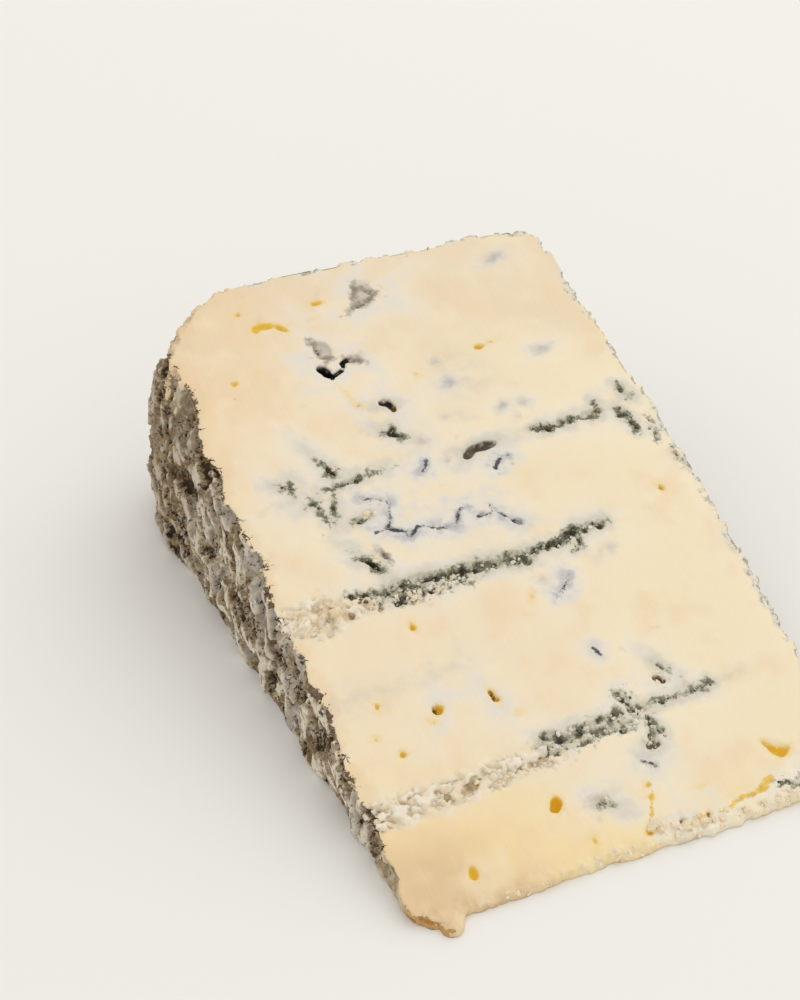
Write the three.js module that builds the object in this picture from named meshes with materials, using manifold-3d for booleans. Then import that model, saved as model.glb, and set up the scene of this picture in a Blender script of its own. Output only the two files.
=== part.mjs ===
// A wedge of blue cheese, lying on one of its two cut faces.
// The wheel's axis runs along X, the tip is at low Y and the rim at high Y,
// and the upper cut face slopes down to the tip.
import * as THREE from "three";
import { ImprovedNoise } from "three/addons/math/ImprovedNoise.js";
import { mergeVertices } from "three/addons/utils/BufferGeometryUtils.js";
import Module from "manifold-3d";

// The wheel and the two cuts, in millimetres and degrees.
const WHEEL_RADIUS = 120;
const WHEEL_HEIGHT = 73;
const WEDGE_ANGLE = 18.4;
const TIP_THICKNESS = 1.3;

// Corners of the wedge seen from above.
const LEFT_RIM_CORNER = 17.5;
const RIGHT_RIM_CORNER = 4.5;
const TIP_CORNER = 4;

// How far the walls and rim stand out: the soft paste sags out below the left wall's upper edge,
// most of all in its shoulder by the rim and towards the base.
const LEFT_BULGE = 0.8;
const RIGHT_BULGE = 2.8;
const RIM_BULGE = 0.8;
const BASE_SAG = 2.2;
const MIDDLE_SAG = 1.6;
const SHOULDER_SAG = 1.8;
const SHOULDER_TOP = 0.8;
const SHOULDER_START = 0.55 * WHEEL_RADIUS;
const SHOULDER_END = 0.95 * WHEEL_RADIUS;

// Rind relief: lumps with crags between them, and the spacing of the points that carry it.
// The right wall and the rim have less of it.
const RIND_STEP = 2.4;
const LUMP_SIZE = 8;
const LUMP_HEIGHT = 1.1;
const CRAG_SIZE = 4.0;
const CRAG_DEPTH = 1.7;
const RIND_THINS_UNDER = 9;
const LEFT_RELIEF = 1;
const RIGHT_RELIEF = 0.4;
const RIM_RELIEF = 0.7;

// The tip edge wanders, and the knife has squashed a lump out of it near the left end.
const TIP_WANDER = 0.9;
const TIP_WANDER_SIZE = 11;
const SQUASHED_LUMP = { across: -31, wide: 2.6, out: 2.2 };

// The knife leaves the upper cut face softly uneven.
const KNIFE_CELL = 9;
const KNIFE_WAVE = 0.22;
const KNIFE_WAVE_SIZE = 21;

// Eyes and pits in the upper cut face: place across and along it from the tip, size, and turn in degrees.
const EYES = [
  { across: -18.5, along: 109.6, long: 5.4, wide: 1.9, deep: 1.3, turn: -18 },
  { across: -15.9, along: 107.9, long: 2.6, wide: 1.2, deep: 1.0, turn: -60 },
  { across: -8.0, along: 112.4, long: 2.4, wide: 1.1, deep: 0.8, turn: 0 },
  { across: 0.8, along: 112.0, long: 4.6, wide: 3.0, deep: 0.9, turn: 65 },
  { across: -27.8, along: 98.9, long: 1.5, wide: 1.2, deep: 0.8, turn: 0 },
  { across: -12.6, along: 97.4, long: 4.2, wide: 1.9, deep: 2.8, turn: -62 },
  { across: -8.8, along: 97.9, long: 5.6, wide: 1.7, deep: 2.6, turn: 32 },
  { across: -11.2, along: 103.0, long: 4.6, wide: 2.4, deep: 0.8, turn: 78 },
  { across: 16.0, along: 95.1, long: 2.2, wide: 1.1, deep: 0.8, turn: -20 },
  { across: -4.3, along: 87.0, long: 3.2, wide: 2.2, deep: 2.0, turn: 70 },
  { across: -6.4, along: 81.4, long: 3.8, wide: 1.8, deep: 1.5, turn: -35 },
  { across: -19.6, along: 77.4, long: 2.8, wide: 1.7, deep: 1.6, turn: -50 },
  { across: -26.6, along: 75.8, long: 2.4, wide: 1.3, deep: 1.2, turn: 35 },
  { across: -17.3, along: 74.0, long: 6.0, wide: 1.6, deep: 1.8, turn: 8 },
  { across: 6.1, along: 74.7, long: 6.2, wide: 2.2, deep: 2.2, turn: 2 },
  { across: -22.0, along: 70.0, long: 2.6, wide: 1.4, deep: 1.4, turn: 40 },
  { across: -17.4, along: 66.6, long: 4.6, wide: 2.0, deep: 2.0, turn: 15 },
  { across: -18.8, along: 58.4, long: 4.2, wide: 3.2, deep: 2.2, turn: 55 },
  { across: 6.0, along: 58.7, long: 2.6, wide: 1.6, deep: 1.5, turn: -30 },
  { across: 32.2, along: 57.7, long: 1.8, wide: 1.2, deep: 0.8, turn: -60 },
  { across: -18.0, along: 45.2, long: 1.5, wide: 1.1, deep: 0.9, turn: 80 },
  { across: -20.1, along: 30.5, long: 2.2, wide: 1.7, deep: 1.3, turn: 40 },
  { across: -11.3, along: 30.2, long: 2.9, wide: 1.1, deep: 1.6, turn: 88 },
  { across: -28.0, along: 25.2, long: 1.8, wide: 1.3, deep: 0.8, turn: 20 },
  { across: -8.8, along: 26.2, long: 1.5, wide: 1.0, deep: 0.8, turn: -15 },
  { across: 14.6, along: 24.8, long: 3.0, wide: 2.2, deep: 1.8, turn: -40 },
  { across: 15.7, along: 27.2, long: 2.4, wide: 1.4, deep: 1.3, turn: -60 },
  { across: 8.2, along: 14.9, long: 3.2, wide: 2.2, deep: 1.6, turn: 40 },
  { across: -10.1, along: 10.6, long: 3.2, wide: 2.3, deep: 1.5, turn: 55 },
  { across: -2.2, along: 8.3, long: 3.2, wide: 2.2, deep: 0.9, turn: 20 },
  { across: -25.8, along: 4.7, long: 2.5, wide: 1.7, deep: 0.8, turn: 80 },
  { across: 25.6, along: 7.8, long: 4.2, wide: 1.9, deep: 1.0, turn: -35 },
];

// Veins where the needles opened the paste: a line across the face, the band's width at its two ends,
// and how large and deep its crags are.
const VEINS = [
  { line: [[-36, 51.4], [-27, 51.4], [-20, 51.8]], width: [4.8, 4.0], crag: 1.9, deep: 1.0 },
  { line: [[-21, 51.9], [-10, 52], [2, 52.1]], width: [2.8, 1.8], crag: 2.1, deep: 1.7 },
  { line: [[2, 52.1], [8, 52.7], [14, 53.9], [20, 54.4]], width: [1.4, 0.7], crag: 1.6, deep: 1.4 },
  { line: [[-36, 17.6], [-24, 18.2], [-8, 18.6]], width: [3.6, 2.0], crag: 1.9, deep: 0.9 },
  { line: [[-8, 19.8], [0, 20.1], [9, 20.3]], width: [2.2, 1.6], crag: 1.9, deep: 1.6 },
  { line: [[9, 20.6], [15, 21], [22, 21.2]], width: [0.9, 0.5], crag: 1.3, deep: 1.0 },
  { line: [[8, 24.2], [9.2, 19], [8.4, 15]], width: [1.4, 1.2], crag: 1.6, deep: 1.3 },
  { line: [[16.5, 75], [23, 75.2], [28, 75.8], [30, 78.2]], width: [1.0, 0.8], crag: 1.6, deep: 1.4 },
  { line: [[33, 77], [34, 72.5], [36, 69]], width: [1.6, 1.2], crag: 1.6, deep: 1.0 },
  { line: [[-14, 67.5], [-15.6, 64.4], [-11, 62.2], [-4, 61.7]], width: [0.5, 0.4], crag: 1.1, deep: 1.1 },
  { line: [[-4, 61.7], [-0.6, 63.2], [3, 61.8], [5.6, 59.2]], width: [0.4, 0.4], crag: 1.1, deep: 1.1 },
  { line: [[10, 1.9], [17, 2.4], [24, 4.6]], width: [0.3, 0.4], crag: 1.1, deep: 0.7 },
];
const CRAGS_PER_MM2 = 0.2;
const CRAG_SPACING = 1.9;
const LONGER_ALONG_VEIN = 1.4;
const UNEVENNESS = 0.24;
const SMALL_EYE = 2;
const RANDOM_SEED = 41;

const PASTE_COLOUR = 0xefdcb8;
const PASTE_ROUGHNESS = 0.55;

const wasm = await Module();
wasm.setup();
const noise = new ImprovedNoise();
THREE.MathUtils.seededRandom(RANDOM_SEED);
const draw = (low, high) => low + (high - low) * THREE.MathUtils.seededRandom();
const smooth = THREE.MathUtils.smoothstep;
const cutAngle = THREE.MathUtils.degToRad(WEDGE_ANGLE);

function welded(geometry) {
  const bare = geometry.clone();
  bare.deleteAttribute("normal");
  bare.deleteAttribute("uv");
  return mergeVertices(bare, 1e-4);
}

function solidOf(geometry) {
  return new wasm.Manifold(
    new wasm.Mesh({
      numProp: 3,
      vertProperties: new Float32Array(geometry.attributes.position.array),
      triVerts: new Uint32Array(geometry.index.array),
    }),
  );
}

function geometryOf(solid) {
  const mesh = solid.getMesh();
  const geometry = new THREE.BufferGeometry();
  geometry.setAttribute("position", new THREE.BufferAttribute(mesh.vertProperties, 3));
  geometry.setIndex(new THREE.BufferAttribute(mesh.triVerts, 1));
  geometry.computeVertexNormals();
  return geometry;
}

// The wheel's section through its axis, from the tip out to the rim, as evenly spaced points.
function wheelSection() {
  const left = -WHEEL_HEIGHT / 2;
  const right = WHEEL_HEIGHT / 2;
  const leftEnd = WHEEL_RADIUS - LEFT_RIM_CORNER;
  const rightEnd = WHEEL_RADIUS - RIGHT_RIM_CORNER;
  const quarter = Math.PI / 2;
  const path = new THREE.Path();
  path.moveTo(left, TIP_CORNER);
  path.lineTo(left, leftEnd);
  path.absarc(left + LEFT_RIM_CORNER, leftEnd, LEFT_RIM_CORNER, 2 * quarter, quarter, true);
  path.lineTo(right - RIGHT_RIM_CORNER, WHEEL_RADIUS);
  path.absarc(right - RIGHT_RIM_CORNER, rightEnd, RIGHT_RIM_CORNER, quarter, 0, true);
  path.lineTo(right, TIP_CORNER);
  path.absarc(right - TIP_CORNER, TIP_CORNER, TIP_CORNER, 0, -quarter, true);
  path.lineTo(left + TIP_CORNER, 0);
  path.absarc(left + TIP_CORNER, TIP_CORNER, TIP_CORNER, -quarter, -2 * quarter, true);
  const points = path.getSpacedPoints(Math.round(path.getLength() / RIND_STEP));
  points.pop();
  return points;
}

// How far the rind stands out of the plain wheel at a point whose wall faces the given way.
function rindRelief(x, radius, z, facing) {
  const thickness = TIP_THICKNESS + radius * Math.tan(cutAngle);
  const level = Math.min(z / thickness, 1);
  const along = Math.sin((Math.PI * Math.min(radius, WHEEL_RADIUS)) / WHEEL_RADIUS);
  const bulge = (facing.x < 0 ? LEFT_BULGE : RIGHT_BULGE) * Math.abs(facing.x) * along;
  const sag = BASE_SAG * (1 - level) + MIDDLE_SAG * 4 * level * (1 - level);
  const shoulder = SHOULDER_SAG * (1 - smooth(level, SHOULDER_TOP, 1));
  const nearRim = smooth(radius, SHOULDER_START, SHOULDER_END);
  const sagging = sag * smooth(radius, 0, WHEEL_RADIUS) + shoulder * nearRim;
  const thinness = Math.min(thickness / RIND_THINS_UNDER, 1);
  const middle = Math.max(1 - ((2 * x) / WHEEL_HEIGHT) ** 2, 0);
  const rim = RIM_BULGE * smooth(facing.y, 0.3, 0.9) * middle;
  const lumps = LUMP_HEIGHT * noise.noise(x / LUMP_SIZE, radius / LUMP_SIZE, z / LUMP_SIZE);
  const crags = CRAG_DEPTH * Math.abs(noise.noise(x / CRAG_SIZE, radius / CRAG_SIZE, z / CRAG_SIZE));
  const wallRelief = facing.x < 0 ? LEFT_RELIEF : RIGHT_RELIEF;
  const relief = THREE.MathUtils.lerp(RIM_RELIEF, wallRelief, Math.abs(facing.x));
  return bulge + sagging * Math.max(-facing.x, 0) + rim + (lumps - crags) * relief * thinness;
}

// The tip edge's place in front of its straight line.
function tipWander(x) {
  const lump = SQUASHED_LUMP.out * Math.exp(-(((x - SQUASHED_LUMP.across) / SQUASHED_LUMP.wide) ** 2));
  return lump + TIP_WANDER * noise.noise(x / TIP_WANDER_SIZE, 0.5, 0.5);
}

// A block of the wheel with rind on its two flat faces and its rim, taller than the wedge.
function rindBlock() {
  const height = TIP_THICKNESS + WHEEL_RADIUS * Math.sin(cutAngle) + 2 * RIND_STEP;
  const rows = Math.round(height / RIND_STEP);
  const section = new THREE.Shape(wheelSection());
  const options = { depth: height, steps: rows, bevelEnabled: false };
  const block = welded(new THREE.ExtrudeGeometry(section, options));
  block.computeVertexNormals();
  const place = block.attributes.position;
  const normal = block.attributes.normal;
  const facing = new THREE.Vector3();
  for (let i = 0; i < place.count; i++) {
    const x = place.getX(i);
    const radius = place.getY(i);
    const z = place.getZ(i);
    facing.set(normal.getX(i), normal.getY(i), 0).normalize();
    const rind = smooth(facing.y, -0.7, -0.1);
    const out = rind * rindRelief(x, radius, z, facing) + (1 - rind) * tipWander(x);
    const roundRim = Math.sqrt(1 - (z / WHEEL_RADIUS) ** 2);
    place.setXYZ(i, x + out * facing.x, (radius + out * facing.y) * roundRim, z);
  }
  return solidOf(block);
}

// Puts a geometry made in the cut face's own axes (across, along, out of it) at a place on that face.
function onCutFace(geometry, across, along) {
  geometry.translate(across, along, 0);
  geometry.rotateX(cutAngle);
  geometry.translate(0, 0, TIP_THICKNESS);
  return geometry;
}

// What the knife takes away above the upper cut face.
function knifeWaste() {
  const width = 1.5 * WHEEL_HEIGHT;
  const length = 1.4 * WHEEL_RADIUS;
  const height = 0.6 * WHEEL_RADIUS;
  const cells = [Math.round(width / KNIFE_CELL), Math.round(length / KNIFE_CELL)];
  const slab = welded(new THREE.BoxGeometry(width, length, height, cells[0], cells[1], 1));
  slab.translate(0, 0, height / 2);
  const place = slab.attributes.position;
  for (let i = 0; i < place.count; i++) {
    const x = place.getX(i);
    const y = place.getY(i);
    const wave = KNIFE_WAVE * noise.noise(x / KNIFE_WAVE_SIZE, y / KNIFE_WAVE_SIZE, 0.5);
    place.setZ(i, place.getZ(i) + wave);
  }
  return solidOf(onCutFace(slab, 0, WHEEL_RADIUS / 2));
}

// An uneven lump that is cut out of the face: a faceted ball, stretched and turned.
function hollow({ across, along, long, wide, deep, turn, detail }) {
  const ball = welded(new THREE.IcosahedronGeometry(1, detail));
  const place = ball.attributes.position;
  for (let i = 0; i < place.count; i++) {
    const size = draw(1 - UNEVENNESS, 1 + UNEVENNESS);
    place.setXYZ(i, place.getX(i) * size, place.getY(i) * size, place.getZ(i) * size);
  }
  ball.rotateZ(draw(0, Math.PI));
  ball.scale(long / 2, wide / 2, deep);
  ball.rotateZ(THREE.MathUtils.degToRad(turn));
  return solidOf(onCutFace(ball, across, along));
}

// The crags of one vein, spread over its band from end to end.
function veinCrags({ line, width, crag, deep }) {
  const curve = new THREE.SplineCurve(line.map(([across, along]) => new THREE.Vector2(across, along)));
  const length = curve.getLength();
  const area = (length * (width[0] + width[1])) / 2;
  const count = Math.round(Math.max(length / CRAG_SPACING, CRAGS_PER_MM2 * area));
  const crags = [];
  for (let i = 0; i < count; i++) {
    const share = (i + draw(0.2, 0.8)) / count;
    const middle = curve.getPointAt(share);
    const direction = curve.getTangentAt(share);
    const spread = THREE.MathUtils.lerp(width[0], width[1], share) / 2;
    const aside = draw(-spread, spread);
    const size = crag * draw(0.75, 1.3);
    crags.push(
      hollow({
        across: middle.x - direction.y * aside,
        along: middle.y + direction.x * aside,
        long: size * LONGER_ALONG_VEIN,
        wide: size,
        deep: deep * draw(0.6, 1.15),
        turn: THREE.MathUtils.radToDeg(direction.angle()) + draw(-35, 35),
        detail: 0,
      }),
    );
  }
  return crags;
}

// The wedge: the rind block cut by the knife, with eyes and vein crags taken out, and loose scraps dropped.
function wedge() {
  let solid = rindBlock().subtract(knifeWaste());
  for (const eye of EYES) {
    const detail = eye.long < SMALL_EYE ? 0 : 1;
    solid = solid.subtract(hollow({ ...eye, detail }));
  }
  for (const vein of VEINS) {
    for (const crag of veinCrags(vein)) solid = solid.subtract(crag);
  }
  const bodies = solid.decompose().sort((a, b) => b.volume() - a.volume());
  return geometryOf(bodies[0]);
}

// The part's origin is under the middle of its bounding box, on the surface that it lies on.
function centred(geometry) {
  geometry.computeBoundingBox();
  const middle = geometry.boundingBox.getCenter(new THREE.Vector3());
  return geometry.translate(-middle.x, -middle.y, -geometry.boundingBox.min.z);
}

const paste = new THREE.MeshStandardMaterial({
  color: PASTE_COLOUR,
  roughness: PASTE_ROUGHNESS,
  metalness: 0,
});
const cheese = new THREE.Mesh(centred(wedge()), paste);
cheese.name = "cheese_wedge";

const part = new THREE.Group();
part.add(cheese);
export default part;
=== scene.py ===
import math

import bpy
import numpy as np
from mathutils import Matrix, Quaternion, Vector, noise
from mathutils.bvhtree import BVHTree


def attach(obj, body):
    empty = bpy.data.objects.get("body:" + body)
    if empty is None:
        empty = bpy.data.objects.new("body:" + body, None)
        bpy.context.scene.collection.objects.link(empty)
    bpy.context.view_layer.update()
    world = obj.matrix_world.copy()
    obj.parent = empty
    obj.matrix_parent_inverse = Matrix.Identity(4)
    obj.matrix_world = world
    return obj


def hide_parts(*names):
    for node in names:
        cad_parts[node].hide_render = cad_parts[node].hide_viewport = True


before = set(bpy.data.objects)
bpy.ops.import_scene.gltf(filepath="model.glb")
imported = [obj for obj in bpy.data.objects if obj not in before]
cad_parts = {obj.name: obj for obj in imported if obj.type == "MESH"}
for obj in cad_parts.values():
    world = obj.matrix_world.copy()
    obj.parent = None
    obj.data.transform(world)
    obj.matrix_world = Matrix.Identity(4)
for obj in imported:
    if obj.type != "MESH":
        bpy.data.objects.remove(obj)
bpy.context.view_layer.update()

# The wheel that the wedge was cut from: a low drum of curd, its edges rounded by turning in the cellar.
# The wedge lies on one cut, so the wheel's axis is level, along X, and passes through the wedge's tip.
MM = 0.001
WHEEL_RADIUS = 120 * MM
WHEEL_HEIGHT = 73 * MM
WHEEL_SIDES = 240
WHEEL_AXIS = Vector((0.825, -59.585, 0)) * MM
LEFT_RIM_CORNER = 17.5 * MM
RIGHT_RIM_CORNER = 4.5 * MM
TIP_CORNER = 4 * MM
TIP_THICKNESS = 1.3 * MM
WEDGE_ANGLE = math.radians(18.4)
SPARE_CURD = 4 * MM
BLOCK_GRAIN = 0.6 * MM

ACROSS = Vector((1, 0, 0))
ALONG = Vector((0, math.cos(WEDGE_ANGLE), math.sin(WEDGE_ANGLE)))
OUT_OF_CUT = Vector((0, -math.sin(WEDGE_ANGLE), math.cos(WEDGE_ANGLE)))
DOWN = Vector((0, 0, -1))
FORWARD = Vector((0, -1, 0))
CUT_START = WHEEL_AXIS + Vector((0, 0, TIP_THICKNESS))


def take_up(piece):
    """Makes this the one selected and active piece."""
    bpy.ops.object.select_all(action="DESELECT")
    piece.select_set(True)
    bpy.context.view_layer.objects.active = piece


def finish_with(piece, kind, **settings):
    """Adds one modifier with these settings and applies it."""
    take_up(piece)
    bpy.ops.object.modifier_add(type=kind)
    modifier = piece.modifiers[-1]
    for name, value in settings.items():
        setattr(modifier, name, value)
    bpy.ops.object.modifier_apply(modifier=modifier.name)


def cut_off(piece, point, normal):
    """Cuts the piece with a flat knife and takes away what lies on the side that the normal points to."""
    take_up(piece)
    bpy.ops.object.mode_set(mode="EDIT")
    bpy.ops.mesh.select_all(action="SELECT")
    bpy.ops.mesh.bisect(plane_co=point, plane_no=normal, use_fill=True, clear_outer=True, threshold=1e-6)
    bpy.ops.object.mode_set(mode="OBJECT")


def round_edges(piece, chosen, radius, segments):
    """Bevels the edges that the test chooses by their two end points."""
    take_up(piece)
    bpy.ops.object.mode_set(mode="EDIT")
    bpy.ops.mesh.select_mode(type="EDGE")
    bpy.ops.mesh.select_all(action="DESELECT")
    bpy.ops.object.mode_set(mode="OBJECT")
    points = piece.data.vertices
    for edge in piece.data.edges:
        edge.select = all(chosen(points[i].co) for i in edge.vertices)
    bpy.ops.object.mode_set(mode="EDIT")
    bpy.ops.mesh.bevel(offset=radius, segments=segments, affect="EDGES", clamp_overlap=False)
    bpy.ops.object.mode_set(mode="OBJECT")


def points_of(piece):
    """The piece's points and their normals as arrays."""
    count = len(piece.data.vertices)
    places = np.empty(count * 3)
    normals = np.empty(count * 3)
    piece.data.vertices.foreach_get("co", places)
    piece.data.vertices.foreach_get("normal", normals)
    return places.reshape(-1, 3), normals.reshape(-1, 3)


def weigh(piece, name, weights):
    """Stores one weight from 0 to 1 for each point in a vertex group."""
    group = piece.vertex_groups.get(name) or piece.vertex_groups.new(name=name)
    for index in np.flatnonzero(weights > 0):
        group.add([int(index)], float(weights[index]), "REPLACE")
    return name


def ease(values, start, end):
    """Goes smoothly from 0 at start to 1 at end."""
    share = np.clip((values - start) / (end - start), 0, 1)
    return share * share * (3 - 2 * share)


bpy.ops.object.select_all(action="DESELECT")
bpy.ops.mesh.primitive_cylinder_add(
    vertices=WHEEL_SIDES,
    radius=WHEEL_RADIUS,
    depth=WHEEL_HEIGHT,
    location=WHEEL_AXIS,
    rotation=(0, math.pi / 2, 0),
)
cheese = bpy.context.object
cheese.name = "cheese"
bpy.ops.object.transform_apply(location=True, rotation=True, scale=True)
left_face = WHEEL_AXIS.x - WHEEL_HEIGHT / 2
right_face = WHEEL_AXIS.x + WHEEL_HEIGHT / 2
near = 0.01 * MM
round_edges(cheese, lambda p: abs(p.x - left_face) < near, LEFT_RIM_CORNER, 12)
round_edges(cheese, lambda p: abs(p.x - right_face) < near, RIGHT_RIM_CORNER, 6)
cut_off(cheese, CUT_START + OUT_OF_CUT * SPARE_CURD, OUT_OF_CUT)
cut_off(cheese, WHEEL_AXIS + DOWN * SPARE_CURD, DOWN)
cut_off(cheese, WHEEL_AXIS, FORWARD)


def is_tip_corner(point):
    """Whether a point lies on a corner of the tip."""
    at_tip = abs(point.y - WHEEL_AXIS.y) < near
    return at_tip and abs(abs(point.x - WHEEL_AXIS.x) - WHEEL_HEIGHT / 2) < near


round_edges(cheese, is_tip_corner, TIP_CORNER, 6)
finish_with(cheese, "REMESH", mode="VOXEL", voxel_size=BLOCK_GRAIN)

# The rind: the wheel's own dried and moulded skin, on its two flat faces and its rim.
# It swells where the soft curd sags, and it has grown into lumps and flakes with deep crags between them.
LEFT_BULGE = 0.8 * MM
RIGHT_BULGE = 2.8 * MM
BASE_SAG = 2.2 * MM
MIDDLE_SAG = 1.6 * MM
SHOULDER_SAG = 1.8 * MM
RIM_BULGE = 0.8 * MM
MOST_SWELL = 7 * MM
RIND_THINS_UNDER = 9 * MM
LUMP_SIZE = 8 * MM
LUMP_HEIGHT = 1.5 * MM
CRAG_SIZE = 4.2 * MM
CRAG_DEPTH = 1.1 * MM
RIM_RELIEF = 0.7
RIGHT_RELIEF = 0.4


def swell_and_rind(piece):
    """How far the walls stand out of the plain wheel, and how much rind relief each point takes."""
    places, normals = points_of(piece)
    radius = np.clip(places[:, 1] - WHEEL_AXIS.y, 0, WHEEL_RADIUS)
    thickness = TIP_THICKNESS + radius * math.tan(WEDGE_ANGLE)
    level = np.clip(places[:, 2] / thickness, 0, 1)
    left = np.clip(-normals[:, 0], 0, 1)
    right = np.clip(normals[:, 0], 0, 1)
    bulge = (LEFT_BULGE * left + RIGHT_BULGE * right) * np.sin(np.pi * radius / WHEEL_RADIUS)
    sag = (BASE_SAG * (1 - level) + MIDDLE_SAG * 4 * level * (1 - level)) * ease(radius, 0, WHEEL_RADIUS)
    shoulder = SHOULDER_SAG * ease(level, 1, 0.8) * ease(radius, 0.55 * WHEEL_RADIUS, 0.95 * WHEEL_RADIUS)
    middle = 1 - (2 * (places[:, 0] - WHEEL_AXIS.x) / WHEEL_HEIGHT) ** 2
    rim = RIM_BULGE * ease(normals[:, 1], 0.3, 0.9) * np.clip(middle, 0, 1)
    relief = RIM_RELIEF + (1 - RIM_RELIEF) * left + (RIGHT_RELIEF - RIM_RELIEF) * right
    rind = relief * ease(normals[:, 1], -0.7, -0.1) * np.clip(thickness / RIND_THINS_UNDER, 0, 1)
    return (bulge + left**2 * (sag + shoulder) + rim) / MOST_SWELL, rind


def relief_texture(name, kind, size, **settings):
    """A noise texture of this grain for the relief."""
    texture = bpy.data.textures.new(name, kind)
    texture.noise_scale = size
    for setting, value in settings.items():
        setattr(texture, setting, value)
    return texture


def push_out(piece, group, depth, texture=None, **settings):
    """Moves the group's points out by this depth, or with a texture up to half of it out and in."""
    level = 0.5 if texture else 0
    finish_with(
        piece, "DISPLACE", texture=texture, strength=depth, mid_level=level, vertex_group=group, **settings
    )


swell, rind_share = swell_and_rind(cheese)
weigh(cheese, "swell", swell)
weigh(cheese, "rind", rind_share)
lumps = relief_texture("rind_lumps", "CLOUDS", LUMP_SIZE, noise_depth=1)
crags = relief_texture("rind_crags", "VORONOI", CRAG_SIZE, weight_1=-1, weight_2=1)
push_out(cheese, "swell", MOST_SWELL)
push_out(cheese, "rind", 2 * LUMP_HEIGHT, lumps)
push_out(cheese, "rind", CRAG_DEPTH, crags)
cut_off(cheese, CUT_START, OUT_OF_CUT)
cut_off(cheese, WHEEL_AXIS, DOWN)

# The tip, where the two cuts meet: a thin edge that wandered as the knife left the soft curd.
# At its left corner the knife squashed a little curd out onto the table.
TIP_WANDER = 0.9 * MM
WANDER_SIZE = 11 * MM
WANDER_REACH = 7 * MM
# Each lump gives its place across and along the cut, width, length and height, in millimetres.
SQUASHED_LUMPS = (
    (-31.7, -1.2, 3.6, 3.4, 1.1),
    (-30.7, -0.5, 2.6, 2.4, 1.0),
    (-33.4, 0.5, 3.0, 2.2, 0.9),
)
TORN_SIZE = 2.2 * MM
TORN_DEPTH = 0.9 * MM
TORN_REACH = 2.5 * MM
from_tip = points_of(cheese)[0][:, 1] - WHEEL_AXIS.y
weigh(cheese, "tip", ease(from_tip, WANDER_REACH, 0))
weigh(cheese, "torn", ease(from_tip, TORN_REACH, 0.5 * MM))
wander = relief_texture("tip_wander", "CLOUDS", WANDER_SIZE, noise_depth=2)
torn = relief_texture("torn_curd", "CLOUDS", TORN_SIZE, noise_depth=2)
push_out(cheese, "tip", 2 * TIP_WANDER, wander, direction="Y")
push_out(cheese, "torn", 2 * TORN_DEPTH, torn, direction="Y")
lump_pieces = []
for across, along, wide, long, high in SQUASHED_LUMPS:
    bpy.ops.mesh.primitive_ico_sphere_add(
        subdivisions=4,
        radius=MM,
        location=WHEEL_AXIS + Vector((across, along, high * 0.4)) * MM,
        scale=(wide / 2, long / 2, high),
    )
    lump_pieces.append(bpy.context.object)


def join_pieces(pieces):
    """Joins the pieces into the first of them, in place."""
    bpy.ops.object.select_all(action="DESELECT")
    for piece in pieces:
        piece.select_set(True)
    bpy.context.view_layer.objects.active = pieces[0]
    bpy.ops.object.join()
    bpy.ops.object.transform_apply(location=True, rotation=True, scale=True)
    return pieces[0]


def rind_shell(piece):
    """The walls and rim of the piece alone, for measuring how deep a place lies under the rind."""
    mesh = piece.data
    outside = []
    for face in mesh.polygons:
        offset = face.center - WHEEL_AXIS
        torn_front = offset.y < TORN_REACH and abs(offset.x) < WHEEL_HEIGHT / 2 - TIP_CORNER
        cut = face.normal.dot(OUT_OF_CUT) > 0.85 or face.normal.z < -0.9
        if not cut and not torn_front:
            outside.append(face.vertices[:])
    return BVHTree.FromPolygons([point.co for point in mesh.vertices], outside)


rind_surface = rind_shell(cheese)
squashed = join_pieces(lump_pieces)
push_out(squashed, "", 0.6 * TORN_DEPTH, torn)
cheese = join_pieces([cheese, squashed])

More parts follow.
